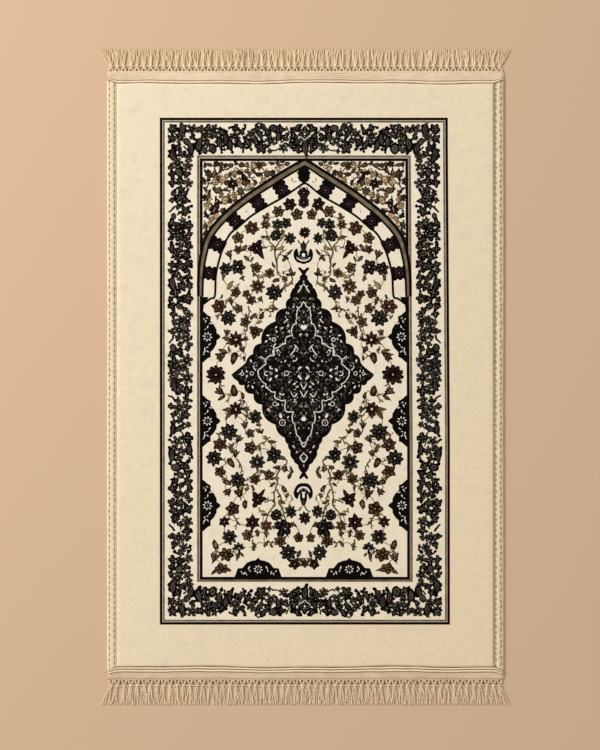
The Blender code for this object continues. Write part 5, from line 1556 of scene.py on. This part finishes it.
def backMaterial():
    # flat woven back, sin x times sin y: threads 2 mm apart, drawn coarser than the real 1.4 mm
    material, tree, shader, place = startMaterial("woven wool back", 0.95)
    part = addNode(tree, "ShaderNodeSeparateXYZ", None, {0: place})
    turnsEach = 2 * math.pi / 0.002
    waves = [mathNode(tree, "MULTIPLY", part.outputs[axis], turnsEach) for axis in ("X", "Y")]
    waves = [mathNode(tree, "SINE", wave) for wave in waves]
    share = stretch(tree, mathNode(tree, "MULTIPLY", *waves), -1.0, 1.0)
    colour = mixColour(tree, share, hexToLinear("#c9b48c"), hexToLinear("#e2d3b0"))
    tree.links.new(colour, shader.inputs["Base Color"])
    addBump(tree, shader, share, 0.4, 0.0006)
    return material


points, faceArrays = layGround()
ground = buildMesh("pile.cream", [(points, faceArrays)])
ground.data.materials.append(creamMaterial())
ground.data.materials.append(backMaterial())
whichMaterial = np.zeros(len(ground.data.polygons), np.int32)
whichMaterial[len(faceArrays[0]):] = 1
ground.data.polygons.foreach_set("material_index", whichMaterial)


def mapGround():
    # top and back lie flat side by side in the UV map, each with its start and width there. The walls are
    # strips beside them: u from their step, v along the rim
    corners = np.empty(len(ground.data.loops), np.int32)
    ground.data.loops.foreach_get("vertex_index", corners)
    u = points[corners, 0] / groundLook["mapWidth"] + 0.5
    v = points[corners, 1] / groundLook["mapLength"] + 0.5
    topLoops, wallLoops = 4 * len(faceArrays[0]), 4 * len(faceArrays[1])
    (topFirst, topWide), (backFirst, backWide) = groundLook["mapTop"], groundLook["mapBack"]
    wallsFirst, wallWide = groundLook["mapWalls"]
    u[:topLoops] = topFirst + topWide * u[:topLoops]
    u[topLoops:] = backFirst + backWide * u[topLoops:]
    rimCount = wallLoops // 20
    step, along = np.divmod(np.arange(wallLoops // 4), rimCount)
    walls = slice(topLoops, topLoops + wallLoops)
    u[walls] = wallsFirst + wallWide * (step[:, None] + [0, 1, 1, 0]).ravel()
    v[walls] = 0.01 + 0.98 / rimCount * (along[:, None] + [0, 0, 1, 1]).ravel()
    layer = ground.data.uv_layers.new(name="OFBake")
    layer.data.foreach_set("uv", np.stack([u, v], -1).astype(np.float32).ravel())


mapGround()
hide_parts("plush_panel")
print("ground:", len(ground.data.polygons), "faces")


def loft(rings):
    # rings is (rows, columns, 3), each ring closed. Quads between them and one flat face at each end, turned
    # outward where the volume, a sixth of the sum of a . (b x c) over the triangles, comes out negative
    rows, columns = rings.shape[:2]
    faces = gridFaces(rows, columns, closeColumns=True)
    last = (rows - 1) * columns + np.arange(columns)[None]
    points = rings.reshape(-1, 3)
    a, b, c, d = (points[faces[:, k]] for k in range(4))
    volume = (a * np.cross(b, c)).sum() + (a * np.cross(c, d)).sum()
    faceArrays = [faces, np.arange(columns)[None, ::-1], last]
    if volume < 0:
        faceArrays = [array[:, ::-1] for array in faceArrays]
    return points, faceArrays


def tubes(paths, wide, high, spin, sides=6):
    # many yarns at once: paths (count, rows, 3). The oval section wide x high turns by spin radians at each
    # row, and its end rows are closed by flat lids
    ahead = np.gradient(paths, axis=1)
    ahead = ahead / np.maximum(np.linalg.norm(ahead, axis=-1, keepdims=True), 1e-12)
    across = np.cross(ahead, [0.0, 0.0, 1.0])
    across = across / np.maximum(np.linalg.norm(across, axis=-1, keepdims=True), 1e-12)
    above = np.cross(across, ahead)
    angle = np.arange(sides) / sides * 2 * np.pi + 0.3
    count, rows = paths.shape[:2]
    spin = np.broadcast_to(spin, (count, rows))[..., None]
    u = np.cos(angle) * wide[..., None]
    v = np.sin(angle) * high[..., None]
    turnedU = (u * np.cos(spin) - v * np.sin(spin))[..., None]
    turnedV = (u * np.sin(spin) + v * np.cos(spin))[..., None]
    points = paths[:, :, None] + turnedU * across[:, :, None] + turnedV * above[:, :, None]
    faces = gridFaces(rows, sides, closeColumns=True)
    lids = np.stack([np.arange(sides)[::-1], (rows - 1) * sides + np.arange(sides)])
    stride = rows * sides
    return points, [repeatFaces(faces, count, stride), repeatFaces(lids, count, stride)]


def setShade(piece, values):
    # one number a point, which the material reads as "shade": 0 the plain light yarn, 1 its deep tone. It
    # holds painted shade in stitches, grooves and gaps, and the yarns' own random tone
    layer = piece.data.attributes.new("shade", "FLOAT", "POINT")
    layer.data.foreach_set("value", np.asarray(values, np.float32).ravel())


def yarnMaterial(name, light, middle, deep, rib, spread):
    # light yarn, its middle tone in shallow places and its deep tone in stitches, as painted shade, with fine
    # uneven ribs; the same attribute also carries the yarns' random tone
    material, tree, shader, place = startMaterial(name, 0.88, 0.12)
    shade = addNode(tree, "ShaderNodeAttribute", {"attribute_name": "shade"}).outputs["Fac"]
    fine = noise(tree, place, rib, 2.0, spread)
    broad = noise(tree, place, 0.018, 2.0, (1, 1, 0))
    colour = mixColour(tree, stretch(tree, shade, 0.0, 0.5), hexToLinear(light), hexToLinear(middle))
    colour = mixColour(tree, stretch(tree, shade, 0.5, 1.0), colour, hexToLinear(deep))
    both = mathNode(tree, "ADD", mathNode(tree, "MULTIPLY", fine, 0.6), broad)
    addColour(tree, shader, colour, stretch(tree, both, 0.55, 1.05, 0.90, 1.06))
    addBump(tree, shader, fine, 0.5, 0.0006)
    return material


def pulse(t, width):
    # 1 at whole numbers of t, falling to 0 at width away: a row of stitches
    return np.clip(1 - np.abs((t + 0.5) % 1 - 0.5) / width, 0, 1) ** 1.5


def ridge(d, middle, width):
    # half-circle bump of that width round middle
    return np.sqrt(np.clip(1 - ((d - middle) / (width / 2)) ** 2, 0, 1))


def groove(d, middle, width):
    # smooth dip round middle: exp(-((d - middle) / width)^2)
    return np.exp(-((d - middle) / width) ** 2)


# Side bindings: a folded tape overcast along two rows of stitches. Distances are from the outer edge
binding = {
    "step": 0.0012, "outerRow": 0.0042, "innerRow": 0.0134, "edgeRow": 0.0166, "pitch": 0.0104,
    "rowWidth": 0.0014, "dip": 0.0015, "bar": (0.0125, 0.0172), "barDip": 0.0004, "upperLeaf": 0.0024,
    "leaf": 0.0008, "foldInside": 0.0022, "underWidth": 0.0135, "fold": 0.0040, "wander": 0.0004,
    "edgeDrop": 0.0022, "crown": 0.0003, "wrapPitch": 0.0046, "wrapSlant": 55, "wrapHeight": 0.00022,
}


def layBinding(side):
    # section in distance from the outer edge and height, carried along y between the two heading tapes
    rows = int(2 * tapeInnerEdge(halfWidth, "top") / binding["step"])
    upper = np.array([
        0.0004, 0.0010, 0.0017, 0.0024, 0.0031, 0.0037, 0.0043, 0.0049, 0.0056, 0.0066, 0.0078, 0.0090,
        0.0102, 0.0113, 0.0121, 0.0128, 0.0135, 0.0142, 0.0150, 0.0158, 0.0165, 0.0171, rug["bindingWidth"],
    ])
    lower = np.array([
        (rug["bindingWidth"], binding["upperLeaf"]), (binding["foldInside"], binding["upperLeaf"]),
        (binding["foldInside"], binding["leaf"]), (binding["underWidth"], binding["leaf"]),
        (binding["underWidth"], 0.0), (binding["fold"], 0.0), (0.0011, 0.0010), (0.0, 0.0024),
    ])
    d = np.concatenate([upper, lower[:, 0]])
    top = tapeInnerEdge(halfWidth - d, "top") - 2 * rug["pieceGap"]
    bottom = tapeInnerEdge(halfWidth - d, "bottom") - 2 * rug["pieceGap"]
    t = np.linspace(0, 1, rows)[:, None]
    y = -bottom + (top + bottom) * t
    n = len(upper)
    s = y[:, :n]
    du = upper[None]
    # two rows of slanting stitches and one along the inner edge, deepest where the thread goes in
    uneven = 0.16 * np.sin(31 * s + side) + 0.11 * np.sin(83 * s + 2 * side)
    outer = pulse(s / binding["pitch"] + uneven + 40 * (du - binding["outerRow"]), 0.40)
    inner = pulse(s / binding["pitch"] + 0.4 + 1.3 * uneven - 60 * (du - binding["innerRow"]), 0.36)
    edge = pulse(2 * s / binding["pitch"] + 0.2 + uneven, 0.42)
    outerSeam = binding["outerRow"] + 0.0004 * np.sin(190 * s)
    innerSeam = binding["innerRow"] + 0.0003 * np.sin(230 * s + 1)
    outerDeep = groove(du, outerSeam, binding["rowWidth"]) * (0.38 + 0.72 * outer)
    innerDeep = groove(du, innerSeam, binding["rowWidth"]) * (0.38 + 0.72 * inner)
    edgeDeep = groove(du, binding["edgeRow"], 0.0008) * (0.35 + 0.65 * edge)
    # the hollows also darken the colour, as painted shade in the stitch holes. On the right binding, which
    # faces away from the light, they are 1.15 times deeper and darker, as painted shade
    hollow = np.maximum(np.maximum(outerDeep, innerDeep), 0.8 * edgeDeep) * (1.0 if side < 0 else 1.15)
    barStart, barEnd = binding["bar"]
    bar = smooth((du - barStart) / 0.001) * smooth((barEnd - du) / 0.001)
    # height = the rounded tape + the threads wrapped over it - the stitches - a low strip along the pile
    rounded = rug["bindingTop"] - binding["edgeDrop"] * (1 - smooth(du / 0.0030))
    rounded = rounded + binding["crown"] * ridge(du, 0.0088, 0.0090)
    wrapping = 2 * np.pi * (s / binding["wrapPitch"] + binding["wrapSlant"] * du)
    wraps = binding["wrapHeight"] * np.sin(wrapping)
    wraps = wraps * smooth((du - 0.0050) / 0.0015) * smooth((0.0125 - du) / 0.0015)
    z = rounded + wraps - binding["dip"] * hollow - binding["barDip"] * bar
    heights = np.concatenate([z, np.repeat(lower[None, :, 1], rows, 0)], axis=1)
    stray = binding["wander"] * np.sin(3 * np.pi * t + side) * np.sin(np.pi * t)
    stray = stray + 0.00025 * np.sin(140 * y) * np.sin(61 * y)
    x = side * (halfWidth - d[None] + np.where(d < 0.0025, stray, 0.0))
    rings = np.stack([x, y, heights], -1)
    # painted shade: the stitch holes and the dips between the wrapped threads are darkened, and the low strip
    # along the pile is drawn darker too
    shade = np.zeros((rows, len(d)))
    wrapShade = 0.22 * np.clip(np.sin(wrapping + 2.2), 0, 1)
    wrapShade = wrapShade * smooth((du - 0.0048) / 0.001) * smooth((0.0128 - du) / 0.001)
    shade[:, :n] = np.maximum(np.maximum(hollow, 0.42 * bar), wrapShade)
    arc = np.concatenate([[0], np.cumsum(np.hypot(np.diff(d), np.diff(heights[0])))])
    return rings, shade, np.broadcast_to(arc / arc[-1], shade.shape), np.broadcast_to(t, shade.shape)


bindingYarn = yarnMaterial("overcast cotton binding", "#f6e6c6", "#d6bd95", "#856a42", 0.0014, (1, 2.5, 1))
for name, side in (("left", -1), ("right", 1)):
    rings, shade, u, v = layBinding(side)
    piece = buildMesh("binding." + name, [loft(rings)])
    piece.data.materials.append(bindingYarn)
    setShade(piece, shade)
    setBakeMap(piece, 0.02 + 0.96 * u.ravel(), 0.01 + 0.98 * v.ravel())
    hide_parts("side_binding_" + name)
    print("binding", name, len(piece.data.polygons), "faces")

# Heading tapes: a ribbed woven band, its dotted stitch row and the rolled cords along the pile. Ribs, dots,
# grooves and cords are placed by their distance from the outer edge
heading = {
    "top": {
        "tone": 0.0, "ribs": (0.0055, 0.0094, 0.0130), "dots": 0.0030, "grooves": (0.0170, 0.0218),
        "cordRows": (0.0194,),
    },
    "bottom": {
        "tone": 0.16, "ribs": (0.0048, 0.0082, 0.0110), "dots": 0.0022,
        "grooves": (0.0142, 0.0190, 0.0235), "cordRows": (0.0166, 0.0213),
    },
    "topHeight": 0.0038, "edgeHeight": 0.0022, "edgeWidth": 0.0060, "cordRise": 0.0014,
    "cordWidth": 0.0043, "grooveDip": 0.0013, "ribDip": 0.0004, "dotDip": 0.0008, "dotPitch": 0.0042,
    "twist": 0.00016, "knit": 0.00014, "step": 0.0013, "rowStep": 0.00048, "openGroove": 0.0022,
    "marginTop": 0.0024,
}


def layHeading(end):
    # height = climb from the outer edge + ribs + half-round cords - grooves. xs and ds are the place across
    # the rug and the distance from the outer edge, row by row
    look, row = heading[end], ends[end]
    phase = row["phase"]
    rows = int(rug["width"] / heading["step"])
    x = np.linspace(-halfWidth, halfWidth, rows)
    d = np.arange(0.0010, row["tape"] - 0.0002, heading["rowStep"])
    d = np.concatenate([[0, 0.0004], d, [row["tape"]]])
    xs, ds = np.meshgrid(x, d, indexing="ij")
    edgeHeight = heading["edgeHeight"]
    climb = edgeHeight + (heading["topHeight"] - edgeHeight) * smooth(ds / heading["edgeWidth"])
    climb = climb * (0.55 + 0.45 * smooth(ds / 0.0008))
    drift = 0.0004 * np.sin(61 * xs + phase) + 0.0003 * np.sin(147 * xs + 2 * phase)
    ribbed = sum(groove(ds, place + drift * 0.7, 0.0008) for place in look["ribs"])
    ribbed = np.clip(ribbed, 0, 1)
    stitches = pulse(xs / heading["dotPitch"] + 0.3 * np.sin(70 * xs + phase), 0.42)
    dots = groove(ds, look["dots"] + 0.3 * drift, 0.0010) * (0.15 + 0.85 * stitches)
    cut = np.clip(sum(groove(ds, place + 0.6 * drift, 0.00080) for place in look["grooves"]), 0, 1)
    cords = sum(ridge(ds, place + 0.6 * drift, heading["cordWidth"]) for place in look["cordRows"])
    onCords = np.clip(cords, 0, 1)
    twist = heading["twist"] * np.sin(2 * np.pi * (xs / 0.0040 + ds / 0.0050)) * onCords
    knit = np.sin(2 * np.pi * xs / 0.0041 + 6 * np.sin(900 * ds)) * np.sin(2 * np.pi * ds / 0.0035)
    knit = knit * (1 - onCords)
    z = climb + heading["cordRise"] * cords + twist + heading["knit"] * knit
    z = z - heading["ribDip"] * ribbed - heading["dotDip"] * dots - heading["grooveDip"] * cut
    endFade = smooth((halfWidth - np.abs(xs)) / 0.0040)
    z = np.maximum(z * (0.5 + 0.5 * endFade ** 0.6), 0.0005)
    # shade: painted shade, deepest in the grooves and dots, then the ribs. Where nothing dips: a set
    # darkening of each tape, stronger on the bottom one, more on the raised parts of the knit, random
    # mottling, and a painted highlight on the cords
    strength = 0.62 + 0.38 * np.sin(9 * xs + phase) * np.sin(23 * xs)
    shade = np.maximum(cut * (0.85 + 0.15 * strength), 0.95 * dots)
    shade = np.maximum(shade, 0.62 * ribbed * strength)
    mottled = 0.12 * np.sin(310 * xs + 5 * np.sin(700 * ds)) * np.sin(190 * xs + 1.3)
    shade = np.maximum(shade, look["tone"] + 0.12 + 0.14 * knit + mottled - 0.5 * onCords)
    # the back of the section: an open groove over the pile's bare margin, closed at both ends of the tape
    outerEdge = tapeOuterEdge(end) - rug["cornerRound"] * corner(x) ** 3
    narrowed = (outerEdge - tapeInnerEdge(x, end)) / row["tape"]
    underHeight = np.where(np.abs(x) < halfWidth - heading["openGroove"], heading["marginTop"], 0.0)[:, None]
    under = np.array([row["tape"], heading["openGroove"], heading["openGroove"] - 0.0003])
    ds = np.concatenate([ds, np.repeat(under[None], rows, 0)], axis=1)
    z = np.concatenate([z, underHeight, underHeight, 0 * underHeight], axis=1)
    z[:, 0] = 0
    shade = np.concatenate([shade, np.zeros((rows, 3))], axis=1)
    y = row["side"] * (outerEdge[:, None] - ds * narrowed[:, None])
    rings = np.stack([np.repeat(x[:, None], ds.shape[1], 1), y, z], -1)
    arc = np.concatenate([[0], np.cumsum(np.hypot(np.diff(ds[0]), np.diff(z[rows // 2])) + 1e-5)])
    u = np.broadcast_to(np.linspace(0, 1, rows)[:, None], shade.shape)
    return rings, shade, u, np.broadcast_to(arc / arc[-1], shade.shape)


headingTape = yarnMaterial("ribbed cotton heading", "#fce9ca", "#d2b48f", "#6e5434", 0.0015, (1, 2.2, 1))
for end in ends:
    rings, shade, u, v = layHeading(end)
    piece = buildMesh("heading." + end, [loft(rings)])
    piece.data.materials.append(headingTape)
    setShade(piece, shade)
    setBakeMap(piece, 0.01 + 0.98 * u.ravel(), 0.02 + 0.96 * v.ravel())
    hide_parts("heading_tape_" + end)
    print("heading", end, len(piece.data.polygons), "faces")

# Knotted fringe: doubled legs out of the tape, a knot for each tassel, a chain thread and the loose yarns
fringe = {
    "yarn": 0.00080, "legSpread": (0.0046, 0.0028), "legBow": 0.0007, "legRows": 8, "knotWide": 0.0019,
    "knotLong": 0.0019, "knotHigh": 0.0013, "knotMiddle": 0.0017, "yarnsEach": 7, "yarnRows": 14,
    "yarnSides": 6, "thread": 0.000775, "threadHigh": 0.0012, "threadRows": 900, "ragged": 0.0016,
    "curl": 0.0016, "wave": 0.0006, "under": 0.0012, "shadowStub": 0.0011, "shadowStubLow": 0.00115,
    "tipSpread": 0.0011, "strayShare": 0.12, "stray": 0.0045, "mapLow": 0.53, "mapSpan": 0.06,
}


def knotPlaces(end):
    # even but for a small wander of two waves
    rowWidth = rug["width"] - 2 * rug["fringeInset"]
    number = np.arange(rug["tassels"])
    wobble = np.sin(2.4 * number + ends[end]["phase"]) + 0.5 * np.sin(5.3 * number)
    return (number + 0.5) * rowWidth / rug["tassels"] - rowWidth / 2 + rug["knotWander"] * wobble


def layFringe(end):
    # every yarn of one end as parts of one mesh, with a shade for each point. y grows away from the pile
    row = ends[end]
    pitch = rug["width"] / rug["tassels"]
    knots = knotPlaces(end)
    count = len(knots)
    near = tapeOuterEdge(end) - fringe["under"]
    root = tapeOuterEdge(end) + row["netting"]
    parts, tonesAndShades = [], []

    def addYarns(paths, radius, toneAndShade, turns, taper=0.25, flatness=0.82):
        # radius swells and thins along the yarn, the section turns with its twist
        count, rows = paths.shape[:2]
        t = np.linspace(0, 1, rows)
        size = radius * (1 + 0.06 * np.sin(2 * np.pi * turns * t)) * np.ones((count, 1))
        size[:, 0] *= taper + 0.2
        size[:, -1] *= taper
        spin = 2 * np.pi * turns / 2 * t + dice.uniform(0, 6, (count, 1))
        points, faceArrays = tubes(paths * [1, row["side"], 1], size, size * flatness, spin)
        if row["side"] > 0:
            faceArrays = [array[:, ::-1] for array in faceArrays]
        parts.append((points, faceArrays))
        # one value a point for the material's shade: the yarns' random tone, and for the stubs a painted
        # shadow
        tonesAndShades.append(np.repeat(toneAndShade, rows * fringe["yarnSides"]))

    # legs: from the tape to the knot, four a tassel, bowed out
    t = np.linspace(0, 1, fringe["legRows"])
    for spread in fringe["legSpread"]:
        for flip in (-1, 1):
            start = knots + flip * spread * (1 + dice.uniform(-0.08, 0.08, count))
            bow = flip * fringe["legBow"] * np.sin(np.pi * t)[None]
            bow = bow * (1 + dice.uniform(-0.3, 0.3, (count, 1)))
            x = start[:, None] + (knots - start)[:, None] * smooth(t)[None] ** 1.1 * 0.9 + bow
            y = near + (root - 0.0010 - near) * t[None] + 0 * x
            z = 0.0014 + 0.0006 * np.sin(np.pi * t)[None] + 0.0004 * (flip > 0) + 0 * x
            addYarns(np.stack([x, y, z], -1), fringe["yarn"] * 1.02, dice.uniform(0.0, 0.25, count), 1.6)
    # short dark yarns low in the gaps between the legs, at the full deep tone: a painted shadow for the
    # shaded gaps of the netting
    for share in (0.32, 0.5, 0.68):
        x = (knots + share * rug["width"] / rug["tassels"])[:-1, None] + 0 * t
        y = near + (row["netting"] * (0.82 - 0.9 * abs(share - 0.5))) * t[None] + 0 * x
        path = np.stack([x, y, fringe["shadowStubLow"] + 0 * x], -1)
        addYarns(path, fringe["shadowStub"], np.full(count - 1, 1.0), 1.0, 0.6, 0.5)
    # chain thread along the knots, dipping between them
    x = np.linspace(-halfWidth + 0.001, halfWidth - 0.001, fringe["threadRows"])
    nearest = knots[np.abs(x[:, None] - knots).argmin(1)]
    away = np.abs(x - nearest) / (pitch / 2)
    y = root - 0.0002 + 0.0005 * away ** 2 + 0.0003 * np.sin(71 * x)
    path = np.stack([x, y, np.full(len(x), fringe["threadHigh"])], -1)
    addYarns(path[None], fringe["thread"], np.array([0.0]), 150)
    # knots: squashed balls with three wraps
    latitude = np.linspace(0.12, np.pi - 0.12, 9)
    longitude = np.arange(10) / 10 * 2 * np.pi
    ringSize = np.sin(latitude) * (1 + 0.10 * np.cos(6 * latitude))
    ball = np.stack([ringSize[:, None] * np.cos(longitude), -np.cos(latitude)[:, None] + 0 * longitude[None],
                     ringSize[:, None] * np.sin(longitude)], -1)
    scale = np.stack([
        fringe["knotWide"] * dice.uniform(0.85, 1.15, count),
        fringe["knotLong"] * dice.uniform(0.85, 1.15, count),
        fringe["knotHigh"] * dice.uniform(0.9, 1.1, count),
    ], -1)
    along = row["side"] * (root + dice.uniform(-0.0005, 0.0005, count))
    middle = np.stack([knots, along, np.full(count, fringe["knotMiddle"])], -1)
    lumps = ball[None] * scale[:, None, None] + middle[:, None, None]
    faces = gridFaces(9, 10, closeColumns=True)
    lids = np.stack([np.arange(10)[::-1], 80 + np.arange(10)])
    parts.append((lumps, [repeatFaces(faces[:, ::-1], count, 90), repeatFaces(lids[:, ::-1], count, 90)]))
    tonesAndShades.append(np.repeat(dice.uniform(0.0, 0.12, count), 90))
    # loose yarns: fan from the knot to the tips, the outer ones leaning out at the corners
    t = np.linspace(0, 1, fringe["yarnRows"])
    opening = 0.62 * t ** 0.7 + 0.38 * t ** 2
    each = fringe["yarnsEach"]
    for share in (np.arange(each) - (each - 1) / 2) / (each - 1):
        tip = knots + share * pitch * 1.02 + dice.normal(0, fringe["tipSpread"], count)
        splay = np.clip((np.abs(tip) - rug["splayStart"]) / (halfWidth - rug["splayStart"]), 0, 1)
        tip = tip + np.sign(tip) * rug["cornerSplay"] * splay ** 2
        strays = dice.random(count) < fringe["strayShare"]
        tip = tip + np.where(strays, dice.normal(0, fringe["stray"], count), 0.0)
        first = knots + share * fringe["knotWide"] * 1.3
        belly = dice.normal(0, fringe["curl"], (count, 1)) * np.sin(np.pi * t) ** 1.2
        waveHeight = dice.normal(0, fringe["wave"], (count, 1))
        wave = waveHeight * np.sin(2 * np.pi * t * 1.5 + dice.uniform(0, 6, (count, 1)))
        x = first[:, None] + (tip - first)[:, None] * opening[None] + belly + wave * t
        long = row["locks"] - dice.uniform(0, fringe["ragged"], count)
        y = root + 0.0004 + long[:, None] * t[None]
        arch = 0.0005 * np.sin(np.pi * t)[None]
        lift = 0.0009 + 0.0007 * dice.random((count, 1)) + arch * dice.random((count, 1))
        z = lift + 0.0006 * (1 - smooth(t * 4))[None]
        radius = fringe["yarn"] * dice.uniform(0.88, 1.12)
        toneAndShade = row["shade"] * dice.uniform(0.0, 0.5, count) ** 1.4
        addYarns(np.stack([x, y, z], -1), radius, toneAndShade, 5.0, 0.35)
    return parts, np.concatenate([toneAndShade.ravel() for toneAndShade in tonesAndShades])


fringeYarn = yarnMaterial("twisted cotton fringe", "#ffebc6", "#e0c296", "#86683f", 0.0012, (1, 0.6, 1))
for end in ends:
    parts, tonesAndShades = layFringe(end)
    piece = buildMesh("fringe." + end, parts)
    piece.data.materials.append(fringeYarn)
    setShade(piece, tonesAndShades)
    points = np.empty(len(piece.data.vertices) * 3, np.float32)
    piece.data.vertices.foreach_get("co", points)
    points = points.reshape(-1, 3)
    v = (np.abs(points[:, 1]) - fringe["mapLow"]) / fringe["mapSpan"] * 0.98 + 0.01
    setBakeMap(piece, points[:, 0] / bakeWidth + 0.5, v)
    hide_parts("knotted_fringe_" + end)
    print("fringe", end, len(piece.data.polygons), "faces")

# Everything above rides on the one body
for piece in list(bpy.context.scene.collection.objects):
    if piece.type == "MESH" and piece.parent is None:
        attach(piece, "root")

# Floor, light and camera
studio = {
    "floor": 6.0, "floorDrop": 0.0004, "floorColour": "#dcbc9d", "cameraHeight": 4.41,
    "aim": (-0.0095, 0.0029), "lens": 120, "sensor": 36, "keyPlace": (-4.2, 2.6, 3.2), "keySize": 1.7,
    "keyPower": 260, "keyColour": (1.0, 0.985, 0.955), "skyColour": (1.0, 0.95, 0.89, 1), "sky": 0.50,
}
half = studio["floor"] / 2
floorCorners = np.array([(-half, -half, 0), (half, -half, 0), (half, half, 0), (-half, half, 0)], float)
floor = buildMesh("floor", [(floorCorners, [np.array([[0, 1, 2, 3]])])])
floor.location = (0, 0, -studio["floorDrop"])
floorLook, tree, shader, place = startMaterial("pale studio floor", 0.7)
shader.inputs["Base Color"].default_value = hexToLinear(studio["floorColour"])
floor.data.materials.append(floorLook)
key = bpy.data.lights.new("key", "AREA")
key.size = studio["keySize"]
key.energy = studio["keyPower"]
key.color = studio["keyColour"]
keyLight = bpy.data.objects.new("key", key)
keyLight.location = studio["keyPlace"]
keyLight.rotation_euler = (Vector((0, 0, 0)) - keyLight.location).to_track_quat("-Z", "Y").to_euler()
world = bpy.data.worlds.new("studio")
world.use_nodes = True
background = world.node_tree.nodes["Background"]
background.inputs[0].default_value = studio["skyColour"]
background.inputs[1].default_value = studio["sky"]
bpy.context.scene.world = world
lens = bpy.data.cameras.new("photograph")
lens.lens = studio["lens"]
lens.sensor_width = studio["sensor"]
lens.sensor_fit = "AUTO"
camera = bpy.data.objects.new("photograph", lens)
camera.location = (*studio["aim"], rug["pileTop"] + studio["cameraHeight"])
for thing in (keyLight, camera):
    bpy.context.scene.collection.objects.link(thing)
bpy.context.scene.camera = camera
bpy.context.scene.view_settings.view_transform = "Standard"
